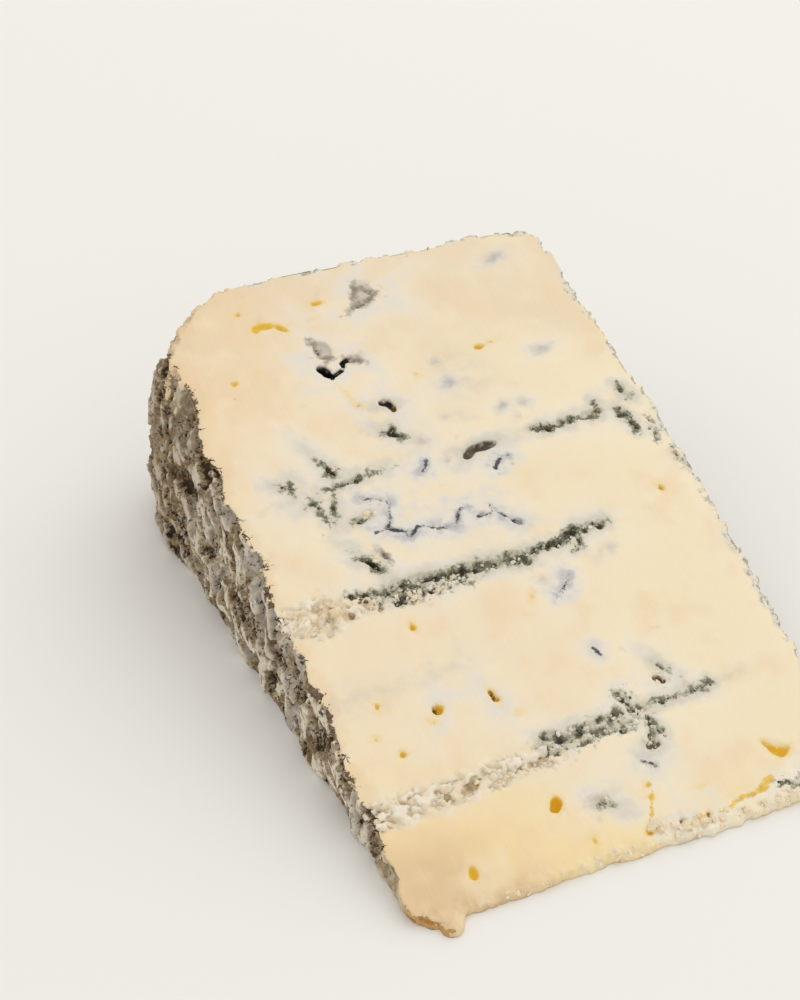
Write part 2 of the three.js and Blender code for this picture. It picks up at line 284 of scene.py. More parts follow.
# Eyes and pits in the cut face: small gas holes, some amber and wet, some lined with mould.
# Each was a bubble in the curd, so it is an uneven ball taken out of the paste at its place.
# A row gives the place across and along the cut from the tip, length, width, depth, turn and lining.
EYES = (
    (-18.9, 109.8, 4.4, 1.5, 0.6, -6, "amber"),
    (-16.0, 108.6, 3.0, 1.2, 0.6, -42, "amber"),
    (-20.4, 109.2, 1.6, 1.5, 0.6, 30, "amber"),
    (-22.2, 113.5, 1.6, 0.9, 0.5, 10, "amber"),
    (-8.0, 112.4, 2.6, 1.0, 0.5, 4, "amber"),
    (0.3, 111.9, 6.2, 4.6, 0.4, 60, "grey"),
    (0.2, 110.5, 5.0, 1.1, 0.7, 25, "streak"),
    (1.6, 112.9, 3.4, 0.9, 0.5, -50, "streak"),
    (-0.8, 112.9, 3.0, 0.9, 0.4, 65, "streak"),
    (-27.8, 98.9, 1.5, 1.1, 0.6, 10, "amber"),
    (-23.4, 100.2, 1.0, 0.7, 0.4, 40, "amber"),
    (-12.2, 97.2, 3.5, 1.9, 2.8, -68, "black"),
    (-12.8, 98.2, 1.6, 1.2, 2.2, 20, "black"),
    (-10.2, 96.4, 3.0, 1.0, 2.4, 25, "black"),
    (-8.9, 97.3, 1.4, 0.8, 2.0, 80, "black"),
    (-8.2, 98.6, 2.6, 1.0, 2.2, 29, "black"),
    (-11.6, 95.4, 1.0, 0.7, 1.8, 60, "black"),
    (-6.5, 98.6, 2.6, 1.8, 0.8, 20, "grey"),
    (-6.2, 98.2, 1.6, 0.6, 0.8, -40, "streak"),
    (-11.0, 101.8, 4.6, 3.2, 0.6, -82, "grey"),
    (-12.0, 102.2, 3.4, 0.9, 0.6, -82, "streak"),
    (-10.8, 100.1, 2.4, 0.8, 0.6, -10, "streak"),
    (15.4, 95.0, 1.9, 1.1, 0.8, -10, "amber"),
    (17.6, 95.4, 3.0, 0.6, 0.4, 14, "amber"),
    (2.5, 92.3, 1.0, 0.6, 0.4, -50, "amber"),
    (-9.6, 88.5, 1.6, 0.8, 0.6, -30, "amber"),
    (-10.2, 90.6, 2.6, 0.45, 0.3, -70, "amber"),
    (-4.3, 87.0, 2.8, 1.4, 1.6, 110, "ochre"),
    (-5.3, 88.3, 1.7, 0.6, 0.8, -20, "ochre"),
    (-5.1, 88.1, 2.6, 0.8, 1.3, -12, "black"),
    (-5.2, 87.6, 1.6, 0.8, 0.8, 0, "mould"),
    (-6.4, 81.4, 3.2, 1.2, 1.5, -35, "mould"),
    (-6.0, 82.4, 1.6, 1.0, 0.9, 60, "mould"),
    (-19.1, 77.0, 3.4, 0.8, 1.4, -65, "mould"),
    (-19.0, 76.6, 1.5, 1.1, 1.2, 0, "mould"),
    (-26.5, 75.6, 1.9, 0.8, 1.0, 80, "mould"),
    (-27.6, 75.9, 1.2, 0.5, 0.6, -30, "mould"),
    (-17.4, 74.1, 6.4, 0.9, 1.3, 8, "mould"),
    (-15.6, 74.3, 2.6, 1.4, 1.2, 20, "mould"),
    (6.9, 74.7, 6.0, 1.9, 1.7, 2, "brown"),
    (4.1, 73.8, 2.8, 1.6, 1.5, 38, "brown"),
    (-21.3, 69.8, 2.8, 0.8, 1.4, 74, "mould"),
    (-24.0, 71.0, 2.6, 0.6, 0.9, -76, "mould"),
    (-24.6, 71.6, 1.4, 0.5, 0.7, 20, "mould"),
    (-17.9, 66.4, 3.0, 0.9, 1.8, 12, "mould"),
    (-16.4, 67.2, 2.0, 1.0, 0.8, 20, "streak"),
    (-19.5, 57.9, 4.4, 1.2, 2.0, -57, "mould"),
    (-20.4, 59.2, 1.6, 1.0, 1.2, 0, "mould"),
    (-17.0, 59.1, 2.8, 0.9, 0.8, -71, "streak"),
    (6.0, 58.7, 2.2, 1.2, 1.5, -30, "mould"),
    (32.2, 57.7, 1.8, 1.0, 0.8, -60, "amber"),
    (-18.0, 45.2, 1.5, 1.0, 0.9, 80, "amber"),
    (2.0, 44.6, 2.0, 1.1, 0.4, 60, "amber"),
    (-28.6, 33.8, 1.6, 0.7, 0.6, 75, "amber"),
    (-20.1, 30.5, 1.9, 1.4, 1.3, 40, "amber"),
    (-11.3, 30.2, 2.7, 0.8, 1.6, 96, "amber"),
    (-10.9, 29.4, 1.2, 0.8, 1.2, 20, "amber"),
    (-20.6, 30.7, 1.6, 0.9, 1.4, 78, "ochre"),
    (-11.3, 30.1, 2.4, 0.9, 1.7, 98, "ochre"),
    (-21.6, 28.8, 1.3, 0.7, 0.6, -50, "amber"),
    (-30.8, 28.8, 1.2, 0.8, 0.6, 0, "amber"),
    (-28.0, 25.2, 1.5, 1.1, 0.8, 60, "amber"),
    (-8.8, 26.2, 1.3, 0.8, 0.7, 0, "amber"),
    (14.6, 24.8, 2.6, 1.3, 1.8, -36, "ochre"),
    (15.8, 27.0, 2.2, 1.0, 1.3, -60, "mould"),
    (8.2, 14.8, 2.3, 1.4, 0.9, 0, "brown"),
    (7.4, 14.9, 0.9, 0.7, 1.5, 60, "ochre"),
    (9.1, 14.7, 0.9, 0.7, 1.5, 20, "ochre"),
    (7.0, 11.7, 1.0, 0.7, 1.0, 20, "ochre"),
    (-10.0, 10.6, 2.7, 1.8, 1.5, 62, "amber"),
    (-10.7, 10.0, 1.6, 1.0, 1.0, 20, "amber"),
    (-3.9, 9.4, 2.6, 1.6, 0.3, 20, "grey"),
    (-3.0, 8.7, 1.4, 0.9, 0.9, 30, "mould"),
    (-2.1, 7.8, 1.2, 0.6, 0.6, -40, "mould"),
    (-25.8, 4.7, 2.4, 1.5, 0.8, 80, "amber"),
    (-7.3, 3.5, 1.9, 0.9, 0.5, 70, "amber"),
    (4.0, 9.0, 1.3, 0.8, 0.6, 70, "amber"),
    (3.7, 7.3, 1.3, 0.7, 0.5, -30, "amber"),
    (1.3, 2.3, 1.6, 1.1, 0.6, 40, "amber"),
    (12.2, 6.4, 1.2, 0.5, 0.3, 10, "amber"),
    (24.6, 9.6, 1.5, 0.9, 0.7, -60, "amber"),
    (25.3, 8.4, 2.6, 1.4, 1.0, -58, "amber"),
    (26.6, 7.5, 2.6, 1.5, 1.0, 10, "amber"),
    (28.1, 8.1, 1.5, 0.7, 0.6, 40, "amber"),
    (6.6, 2.2, 1.4, 0.9, 0.9, 20, "ochre"),
    (10.8, 2.0, 1.5, 0.8, 0.8, 70, "ochre"),
    (-20.4, 17.2, 3.0, 1.6, 0.5, 20, "dull"),
    (-17.6, 18.2, 1.7, 1.1, 0.5, 0, "dull"),
    (-13.2, 17.5, 2.2, 1.1, 0.4, 30, "dull"),
    (-9.8, 18.0, 4.2, 1.5, 0.4, 8, "dull"),
    (-24.6, 16.5, 1.9, 1.1, 0.5, -20, "dull"),
    (-26.0, 50.0, 2.2, 1.0, 0.7, 20, "dull"),
    (-31.0, 52.6, 1.8, 0.9, 0.6, -10, "dull"),
)
NICKS = 46
NICK_PLACES = ((-34, 34), (6, 114))
NICK_SIZES = ((0.6, 1.6), (0.45, 0.7), (0.2, 0.4))
SEED = 41
HOLLOW_GRAIN = 0.25 * MM
UNEVEN_SIZE = 0.75 * MM
UNEVEN_DEPTH = 0.85 * MM


def on_cut(across, along, out=0):
    """The place on the upper cut face, from its middle line and the tip, in millimetres."""
    return CUT_START + (ACROSS * across + ALONG * along + OUT_OF_CUT * out) * MM


def add_hollow(across, along, long, wide, deep, turn, roundness=3):
    """A ball stretched to this size and turned on the cut face, to be taken out of it."""
    turned = Matrix.Rotation(WEDGE_ANGLE, 3, "X") @ Matrix.Rotation(math.radians(turn), 3, "Z")
    bpy.ops.mesh.primitive_ico_sphere_add(
        subdivisions=roundness,
        radius=MM,
        location=on_cut(across, along),
        rotation=turned.to_euler(),
        scale=(long / 2, wide / 2, deep),
    )
    return bpy.context.object


luck = np.random.default_rng(SEED)
noise.seed_set(SEED)
eyes = list(EYES)
for _ in range(NICKS):
    nick = [luck.uniform(*limits) for limits in (*NICK_PLACES, *NICK_SIZES)]
    eyes.append((*nick, luck.uniform(0, 180), "dull"))
hollows = [add_hollow(*eye[:6]) for eye in eyes]

# The veins: needle holes across the wheel where air let the blue mould grow and crumble the curd.
# Each is a line across the cut face; crags are broken out along it and the paste is crumbly around it.
# A row gives the line's points, the band's width at its two ends, crag size, depth and growth.
VEINS = (
    (((-36.5, 51.2), (-27, 51.2), (-20, 51.2), (-12, 50.4)), (6.0, 2.4), 1.2, 0.6, "pale"),
    (((-25, 53.4), (-19.5, 52.2)), (1.0, 2.0), 1.3, 0.8, "ashy"),
    (((-19.5, 52.4), (-10, 52.7), (0, 52.3), (5, 52.0)), (2.0, 2.3), 1.5, 1.4, "blue"),
    (((-19, 50.9), (-12, 51.0), (-6, 51.0)), (2.2, 1.8), 1.4, 0.9, "ashy"),
    (((5, 52.3), (8, 52.8), (11, 52.9), (14, 54.0), (20, 54.6)), (1.5, 1.4), 1.2, 1.2, "blue"),
    (((14.2, 53.2), (14, 51.6), (12.6, 50.6)), (0.8, 0.6), 0.9, 0.8, "blue"),
    (((-36.5, 17.0), (-24, 17.2), (-15, 18.0), (-7, 18.4)), (4.2, 3.2), 1.2, 0.6, "pale"),
    (((-7, 20.7), (-3.5, 20.2), (0.8, 20.6)), (1.7, 1.9), 1.4, 1.4, "blue"),
    (((-8, 19.0), (-3.5, 18.8), (0.8, 19.2)), (1.6, 2.0), 1.3, 0.8, "ashy"),
    (((0, 20.0), (3, 20.2), (6.5, 20.4)), (3.4, 3.6), 1.5, 1.0, "ashy"),
    (((9.5, 21.4), (13, 21.1), (17, 21.3), (22, 21.8)), (0.7, 0.6), 0.9, 0.7, "blue"),
    (((7.4, 24.4), (8.6, 21), (9.6, 18), (8.2, 14.6)), (2.0, 1.6), 1.4, 1.1, "ashy"),
    (((10.2, 17), (10.8, 15.6)), (0.8, 0.5), 0.9, 0.7, "blue"),
    (((5.2, 12.9), (6.0, 12.4), (6.8, 11.9)), (0.5, 0.5), 0.6, 0.7, "crack"),
    (((16.6, 75.6), (21, 75.1), (25, 75.6), (28.6, 75.2), (29.6, 78)), (1.1, 1.1), 1.2, 1.2, "blue"),
    (((32.8, 75.2), (34, 72.4), (34, 70)), (1.2, 0.9), 1.2, 0.9, "blue"),
    (((35.2, 80.5), (36.2, 77.2)), (0.9, 1.6), 1.2, 0.8, "blue"),
    (((37.2, 72), (36.4, 66.6)), (1.0, 1.0), 1.0, 0.6, "ashy"),
    (
        ((-16.2, 70.3), (-13, 69.2), (-12.8, 67.2), (-14.2, 64.2), (-16.9, 63.4)),
        (0.4, 0.45), 0.6, 0.8, "crack",
    ),
    (
        ((-14, 63.4), (-12.2, 62.3), (-11.6, 61.3), (-9.4, 62.6), (-6.9, 61.2)),
        (0.65, 0.45), 0.8, 0.9, "crack",
    ),
    (((-6.9, 61.2), (-4.1, 60.8), (-3, 62.1), (-2, 63.6), (-0.3, 63.9)), (0.5, 0.5), 0.7, 0.9, "crack"),
    (((0.4, 61.5), (2.8, 61.7), (3.2, 63.1), (3.8, 61.4), (6.2, 58.7)), (0.5, 0.6), 0.7, 0.9, "crack"),
    (((6, 43.4), (7.6, 44.6), (9.6, 46.5)), (0.5, 0.6), 0.6, 0.6, "crack"),
    (((7.2, 69.8), (8.6, 71.2), (10.6, 71.8)), (0.7, 0.6), 0.7, 0.7, "crack"),
    (((-4.8, 72.6), (-3.6, 73.6), (-3.2, 74.6)), (0.5, 0.6), 0.6, 0.6, "crack"),
    (((7.2, 33), (7.8, 31.6)), (0.5, 0.6), 0.6, 0.6, "crack"),
    (((8, 1.7), (10.5, 1.9), (12.5, 1.8), (14.6, 2.1)), (0.3, 0.5), 0.6, 0.4, "seam"),
    (((14.6, 2.1), (17.5, 2.7), (20, 2.9), (22.6, 4.1)), (0.4, 0.9), 0.8, 0.6, "seam"),
    (((23.4, 3.0), (25.2, 2.4), (27.5, 2.0), (29.5, 2.6)), (1.2, 2.0), 1.0, 0.7, "ashy"),
    (((38.2, 65), (38.4, 62.4), (38.6, 60)), (0.8, 0.6), 0.8, 0.3, "ashy"),
    (((38.9, 54.6), (39.0, 52)), (0.6, 0.6), 0.7, 0.3, "ashy"),
    (((39.0, 42.6), (38.9, 40.4)), (0.7, 0.5), 0.7, 0.3, "ashy"),
    (((5.0, 9.7), (4.3, 8.0), (3.8, 6.7), (2.7, 4.8), (1.7, 3.0)), (0.4, 0.35), 0.6, 0.4, "seam"),
)
CRAG_SPACING = 0.8
CRAGS_PER_SQUARE_MM = 0.55
PALE_CRAGS_PER_SQUARE_MM = 0.16
FINE_GRAIN = 0.33 * MM
CLUMP_SIZE = 1.6


def line_points(points, spacing=0.25):
    """A smooth line through a few points, as many points at an even spacing, with its direction."""
    knots = np.array(points, float)
    ends = np.vstack([2 * knots[0] - knots[1], knots, 2 * knots[-1] - knots[-2]])
    stretch = []
    for before, start, end, after in zip(ends, ends[1:], ends[2:], ends[3:]):
        t = np.linspace(0, 1, 60, endpoint=False)[:, None]
        bend = 2 * before - 5 * start + 4 * end - after
        twist = 3 * start - before - 3 * end + after
        stretch.append(0.5 * (2 * start + (end - before) * t + bend * t**2 + twist * t**3))
    fine = np.vstack(stretch + [knots[-1:]])
    run = np.concatenate([[0], np.cumsum(np.linalg.norm(np.diff(fine, axis=0), axis=1))])
    even = np.arange(0, run[-1], spacing)
    line = np.column_stack([np.interp(even, run, fine[:, 0]), np.interp(even, run, fine[:, 1])])
    return line, np.gradient(line, spacing, axis=0), run[-1]


def half_widths(line, widths):
    """Half the band's width along its line, swelling and narrowing unevenly as the mould grew."""
    swell = [1 + 0.7 * noise.noise(Vector((x, y, 0)) * 0.4) for x, y in line]
    return np.linspace(widths[0], widths[1], len(line)) / 2 * np.array(swell)


def clump_at(across, along):
    """How thickly the mould has clumped at a place on the cut face, from about -0.7 to 0.7."""
    place = Vector((across, along, 5)) / CLUMP_SIZE
    return 0.6 * noise.noise(0.45 * place) + 0.6 * noise.noise(1.2 * place)


def along_band(points, widths, count):
    """Random places in a band along a line: across, along, and the line's direction in degrees."""
    line, heading, length = line_points(points)
    half = half_widths(line, widths)
    found = []
    for i in range(count):
        share = (i + luck.uniform(0.1, 0.9)) / count
        at = int(share * (len(line) - 1))
        aside = luck.uniform(-1, 1) * half[at]
        across, along = line[at] + aside * np.array([-heading[at][1], heading[at][0]])
        found.append((across, along, math.degrees(math.atan2(heading[at][1], heading[at][0]))))
    return found


for points, widths, crag, deep, growth in VEINS:
    length = line_points(points)[2]
    density = PALE_CRAGS_PER_SQUARE_MM if growth == "pale" else CRAGS_PER_SQUARE_MM
    spacing = 4 if growth == "pale" else CRAG_SPACING * crag
    count = int(max(length / spacing, density * length * sum(widths) / 2)) + 1
    for across, along, heading in along_band(points, widths, count):
        size = crag * luck.uniform(0.6, 1.3)
        turn = heading + luck.uniform(-40, 40)
        depth = deep * luck.uniform(0.4, 1.1)
        hollows.append(add_hollow(across, along, 1.4 * size, size, depth, turn, roundness=2))

hollow = join_pieces(hollows)
uneven = relief_texture("uneven_hollow", "CLOUDS", UNEVEN_SIZE, noise_depth=2)
push_out(hollow, "", UNEVEN_DEPTH, uneven)
finish_with(hollow, "REMESH", mode="VOXEL", voxel_size=HOLLOW_GRAIN)
finish_with(cheese, "BOOLEAN", operation="DIFFERENCE", object=hollow, solver="MANIFOLD")
bpy.data.objects.remove(hollow)
finish_with(cheese, "REMESH", mode="VOXEL", voxel_size=FINE_GRAIN)

# The cut paste: moist, creamy curd, whitened and crumbled near the mould and browned under the rind.
# Growths are known by how deep a place lies in them, so that colour and relief follow the same lines.
# Smudges are faint blue growth under the surface: place, length, width, turn and strength.
SMUDGES = (
    (7.0, 88.9, 3.0, 2.0, -10, 0.8),
    (6.5, 94.0, 1.8, 1.6, 0, 0.5),
    (3.8, 82.4, 2.6, 1.6, 20, 0.45),
    (14.0, 81.7, 2.4, 1.6, 40, 0.7),
    (18.0, 81.4, 1.6, 2.4, 60, 0.7),
    (15.6, 78.7, 1.6, 1.4, 0, 0.5),
    (27.0, 114.0, 5.0, 2.4, 10, 0.7),
    (26.0, 91.7, 3.2, 1.8, 10, 0.8),
    (-2.3, 78.7, 1.8, 1.8, 0, 0.8),
    (-24.0, 71.4, 2.6, 2.0, 30, 0.7),
    (-22.4, 69.5, 1.6, 1.6, 0, 0.9),
    (0.2, 73.4, 1.2, 1.4, 0, 0.8),
    (17.8, 49.2, 4.0, 1.8, 15, 0.5),
    (5.3, 47.0, 1.6, 2.0, 40, 0.7),
    (10.0, 89.0, 9.0, 7.0, 10, 0.24),
    (-4.0, 8.8, 2.6, 1.4, 10, 0.5),
    (-30.0, 36.0, 14.0, 4.0, 4, 0.22),
    (-18.0, 36.6, 14.0, 2.4, 2, 0.26),
    (26.0, 21.9, 10.0, 1.6, 3, 0.25),
    (37.6, 63.0, 1.6, 3.0, 0, 0.6),
    (38.0, 44.0, 1.2, 4.0, 0, 0.4),
)
# How far the white bloom reaches from each growth, in millimetres.
BLOOM_REACH = {"blue": 3.2, "ashy": 2.6, "pale": 0.5, "crack": 3.0, "seam": 0.4}
EYE_BLOOM_REACH = 3.2
SMUDGE_BLOOM_REACH = 2.5
FAR_OUT = 9.0
# Patches of paler, drier curd by the torn tip: place, length, width and turn.
PALE_PATCHES = ((17, 1.0, 20, 4.4, 7), (4.5, 1.4, 9, 3.4, 0), (27, 3.6, 9, 5.0, 20))
BASE_TRIM = 0.2 * MM
EYE_LININGS = ("amber", "grey", "black", "brown", "ochre", "dull", "streak")
GROWTHS = (*BLOOM_REACH, *EYE_LININGS)


def cut_coordinates(places):
    """Across, along and out of the cut face from its start, in millimetres, for many places."""
    offset = (places - np.array(CUT_START)) / MM
    return offset @ np.array(ACROSS), offset @ np.array(ALONG), offset @ np.array(OUT_OF_CUT)


def depth_in_band(across, along, points, widths):
    """How deep each place lies inside a band along a line, in millimetres, negative outside it."""
    line = line_points(points)[0]
    half = half_widths(line, widths)
    depth = np.full(len(across), -FAR_OUT)
    low = line.min(axis=0) - FAR_OUT
    high = line.max(axis=0) + FAR_OUT
    close = (across > low[0]) & (across < high[0]) & (along > low[1]) & (along < high[1])
    distance = np.hypot(across[close, None] - line[:, 0], along[close, None] - line[:, 1])
    depth[close] = np.maximum((half - distance).max(axis=1), -FAR_OUT)
    return depth


def depth_in_oval(across, along, middle_across, middle_along, long, wide, turn):
    """How deep each place lies inside an oval, in millimetres, negative outside it."""
    cos = math.cos(math.radians(turn))
    sin = math.sin(math.radians(turn))
    lengthwise = (across - middle_across) * cos + (along - middle_along) * sin
    sidewise = (along - middle_along) * cos - (across - middle_across) * sin
    return (1 - np.hypot(2 * lengthwise / long, 2 * sidewise / wide)) * min(long, wide) / 2


def fading(depth, reach):
    """Is 1 inside a growth and fades out round it."""
    return np.exp(-((np.minimum(depth, 0) / reach) ** 2))


def growth_fields(piece):
    """Depth in each kind of growth, the white bloom round it and the faint smudges, for each point."""
    places = points_of(piece)[0]
    across, along, out = cut_coordinates(places)
    fields = {kind: np.full(len(places), -FAR_OUT) for kind in GROWTHS}
    bloom, smudge, dry, clump = np.zeros((4, len(places)))
    for points, widths, crag, deep, growth in VEINS:
        depth = depth_in_band(across, along, points, widths)
        fields[growth] = np.maximum(fields[growth], depth)
        bloom = np.maximum(bloom, fading(depth, BLOOM_REACH[growth]) * min(1, 0.5 + deep / 2))
    for middle_across, middle_along, long, wide, deep, turn, lining in eyes:
        depth = depth_in_oval(across, along, middle_across, middle_along, long, wide, turn)
        kind = "blue" if lining == "mould" else lining
        fields[kind] = np.maximum(fields[kind], depth)
        if lining not in ("amber", "dull"):
            bloom = np.maximum(bloom, fading(depth, EYE_BLOOM_REACH))
    for *oval, strength in SMUDGES:
        depth = depth_in_oval(across, along, *oval)
        share = np.clip(1 + depth / (min(oval[2:4]) / 2), 0, 2) / 2
        smudge = np.maximum(smudge, strength * ease(share, 0, 1))
        bloom = np.maximum(bloom, strength * fading(depth, SMUDGE_BLOOM_REACH))
    for oval in PALE_PATCHES:
        dry = np.maximum(dry, ease(depth_in_oval(across, along, *oval), -0.6, 0.8))
    near_mould = np.max([fields[kind] for kind in ("blue", "ashy", "crack")], axis=0) > -3
    for index in np.flatnonzero(near_mould):
        clump[index] = clump_at(across[index], along[index])
    skin = np.array([rind_surface.find_nearest(place)[3] for place in places]) / MM
    return fields | {"clump": clump, "dry": dry, "bloom": bloom, "smudge": smudge, "sunk": -out, "skin": skin}


cut_off(cheese, WHEEL_AXIS - DOWN * BASE_TRIM, DOWN)
places, normals = points_of(cheese)
places[places[:, 2] < 1.01 * BASE_TRIM, 2] = 0
out = cut_coordinates(places)[2]
level_with_cut = (np.abs(out) < 0.15) & (normals @ np.array(OUT_OF_CUT) > 0.8)
places[level_with_cut] -= out[level_with_cut, None] * MM * np.array(OUT_OF_CUT)
cheese.data.vertices.foreach_set("co", places.ravel())
cheese.data.update()

CRUMBLE_SIZE = 1.0 * MM
CRUMBLE_DEPTH = 1.0 * MM
CURD_SIZE = 2.2 * MM
CURD_DEPTH = 1.0 * MM
CURD_PATCH_SIZE = 3.2 * MM
BROKEN_SIZE = 1.9
BROKEN_HEIGHT = 0.45 * MM
GAP_DEPTH = 0.6 * MM
FLAKE_WIDTH = 2.0 * MM
FLAKE_LENGTH = 3.0 * MM
FLAKE_LEAN = 0.4
FLAKE_HEIGHT = 0.5 * MM
CREVICE_DEPTH = 0.9 * MM
GRIT_SIZE = 1.2 * MM
GRIT_DEPTH = 0.25 * MM
KNIFE_WAVE = 0.22 * MM
KNIFE_WAVE_SIZE = 21 * MM
KNIFE_WAVE_FADE = 8 * MM
MOST_TRIANGLES = 190000
MOULDS = ("blue", "ashy", "crack", "grey", "streak")


def flake_fields(places, wanted):
    """How far each rind point stands on a flake, and how far it lies in a crevice, both from 0 to 1."""
    stand = np.zeros(len(places))
    for index in np.flatnonzero(wanted):
        x, y, z = places[index]
        spot = Vector((x / FLAKE_WIDTH, (y - FLAKE_LEAN * z) / FLAKE_WIDTH, z / FLAKE_LENGTH))
        bent = spot + 0.9 * noise.noise_vector(0.6 * spot) + 0.35 * noise.noise_vector(1.9 * spot)
        broad = noise.noise(0.7 * bent)
        streaks = noise.noise(1.4 * bent + Vector((9, 4, 2)))
        stand[index] = broad + 0.65 * streaks + 0.25 * noise.noise(3.1 * bent)
    return ease(stand, 0.05, 0.28) * wanted, ease(stand, 0.06, -0.28) * wanted


def broken_fields(across, along, wanted):
    """How far each place lies in a gap between broken lumps of curd, and its lump's own tone, from 0 to 1."""
    gap = np.zeros(len(across))
    tone = np.zeros(len(across))
    for index in np.flatnonzero(wanted):
        spot = Vector((across[index], 1.2 * along[index], 0)) / BROKEN_SIZE
        bent = spot + 0.6 * noise.noise_vector(1.6 * spot) + 0.3 * noise.noise_vector(4 * spot)
        distances, middles = noise.voronoi(bent)
        gap[index] = distances[1] - distances[0]
        tone[index] = 0.5 + 0.5 * noise.cell(7.3 * middles[0])
        gap[index] += 1.0 * max(0, noise.noise(0.8 * spot + Vector((3, 8, 1))))
    return ease(gap, 0.3, 0.02) * wanted, tone


fields = growth_fields(cheese)
places, normals = points_of(cheese)
facing_out = normals @ np.array(OUT_OF_CUT)
on_face = ease(facing_out, 0.5, 0.9) * ease(fields["skin"], 0.5, 3)
above_table = ease(places[:, 2], 0.1 * MM, 0.9 * MM)
flaky = ease(fields["skin"], 0.5, 0.15) * ease(facing_out, 0.9, 0.5) * above_table
flake, crevice = flake_fields(places, fields["skin"] < 1)
crumbly = ease(np.maximum(fields["blue"], fields["ashy"]), -0.6, 0.4)
curdy = np.maximum(ease(fields["pale"], -1.4, 1.0), 0.8 * fields["dry"])
from_tip = places[:, 1] - WHEEL_AXIS.y
torn_tip = ease(from_tip, 2.4 * MM, 0.6 * MM)
curdy = np.maximum(curdy, torn_tip)
curdy = np.maximum(curdy, 0.22 * ease(fields["bloom"], 0.5, 1) * on_face)
for index in np.flatnonzero(curdy):
    curdy[index] *= 0.6 + 0.8 * noise.noise(Vector(places[index]) / CURD_PATCH_SIZE)
across, along, _ = cut_coordinates(places)
gap, lump_tone = broken_fields(across, along, fields["pale"] > -2)
broken = ease(fields["pale"], -0.8, 0.6) * above_table
off_table = np.maximum(above_table, torn_tip * ease(places[:, 2], 0, 0.4 * MM))
crumble = relief_texture("vein_crumble", "CLOUDS", CRUMBLE_SIZE, noise_depth=2)
curd = relief_texture("curd_lumps", "CLOUDS", CURD_SIZE, noise_depth=3, noise_type="HARD_NOISE")
grit = relief_texture("rind_grit", "CLOUDS", GRIT_SIZE, noise_depth=2)
knife_wave = relief_texture("knife_wave", "CLOUDS", KNIFE_WAVE_SIZE, noise_depth=0)
# Each kind of relief: its name, where it lies, its depth and its texture.
RELIEF = (
    ("crumbly", np.maximum(crumbly * above_table, 0.6 * torn_tip * off_table), CRUMBLE_DEPTH, crumble),
    ("curdy", np.clip(curdy, 0, 1) * off_table, CURD_DEPTH, curd),
    ("broken", np.clip(lump_tone, 0, 1) * broken, BROKEN_HEIGHT, None),
    ("gaps", gap * broken, -GAP_DEPTH, None),
    ("flakes", flake * flaky, FLAKE_HEIGHT, None),
    ("crevices", crevice * flaky, -CREVICE_DEPTH, None),
    ("flaky", flaky, GRIT_DEPTH, grit),
    ("cut", on_face * ease(from_tip, 0, KNIFE_WAVE_FADE), 2 * KNIFE_WAVE, knife_wave),
)
for group, weights, depth, texture in RELIEF:
    weigh(cheese, group, weights)
    push_out(cheese, group, depth, texture)

# Nothing reaches into the table, and plain paste and unseen walls get fewer triangles than the rest.
settled = points_of(cheese)[0]
settled[:, 2] = np.maximum(settled[:, 2], 0)
cheese.data.vertices.foreach_set("co", settled.ravel())
cheese.data.update()
grown = np.max([fields[kind] for kind in GROWTHS], axis=0)
mouldy = np.max([fields[kind] for kind in MOULDS], axis=0)
plain = np.minimum(ease(grown, 0.2, -1.0), ease(mouldy, -0.8, -2.2))
plain = plain * ease(fields["skin"], 0.8, 2.0) * (1 - fields["smudge"]) * ease(from_tip, 1.4 * MM, 3 * MM)
away = np.maximum(ease(normals[:, 0], 0.3, 0.7), ease(normals[:, 1], 0.5, 0.8))
away = away * ease(fields["skin"], 0.6, 0.4)
weigh(cheese, "thin_out", 0.05 + 0.9 * plain + 0.35 * away * (1 - plain))
triangles = sum(len(face.vertices) - 2 for face in cheese.data.polygons)
if triangles > MOST_TRIANGLES:
    ratio = MOST_TRIANGLES / triangles
    finish_with(cheese, "DECIMATE", ratio=ratio, vertex_group="thin_out", vertex_group_factor=1)


def hollowness(piece, rounds):
    """How far each point lies below its smoothed surroundings, in millimetres, negative above them."""
    places, normals = points_of(piece)
    count = len(places)
    ends = np.empty(len(piece.data.edges) * 2, int)
    piece.data.edges.foreach_get("vertices", ends)
    first, second = ends.reshape(-1, 2).T
    neighbours = np.bincount(ends, minlength=count)
    smooth = places.copy()
    for _ in range(rounds):
        for axis in range(3):
            total = np.bincount(first, smooth[second, axis], count)
            total += np.bincount(second, smooth[first, axis], count)
            smooth[:, axis] = total / neighbours
    return ((smooth - places) * normals).sum(axis=1) / MM


def remember(piece, name, values):
    """Keeps one number for each point on the piece, for its material to read."""
    attribute = piece.data.attributes.new(name, "FLOAT", "POINT")
    attribute.data.foreach_set("value", np.asarray(values, np.float32))


fields = growth_fields(cheese)
fields["flake"], fields["crevice"] = flake_fields(points_of(cheese)[0], fields["skin"] < 2.5)
fields["dip"] = hollowness(cheese, 16)
places, normals = points_of(cheese)
beside_cut = np.maximum(ease(normals @ np.array(OUT_OF_CUT), 0.8, 0.5), ease(fields["sunk"], 0.3, 0.7))
fields["wall"] = beside_cut * ease(fields["skin"], 2.4, 1.7)
fields["across"], fields["along"], _ = cut_coordinates(places)
fields["gap"], fields["lump"] = broken_fields(fields["across"], fields["along"], fields["pale"] > -3)
for name, values in fields.items():
    remember(cheese, name, values)


def linear(red, green, blue):
    """A colour as the eye reads it on a screen, from 0 to 255, as the light that the shader needs."""
    shares = [channel / 255 for channel in (red, green, blue)]
    return tuple(c / 12.92 if c < 0.04045 else ((c + 0.055) / 1.055) ** 2.4 for c in shares) + (1,)


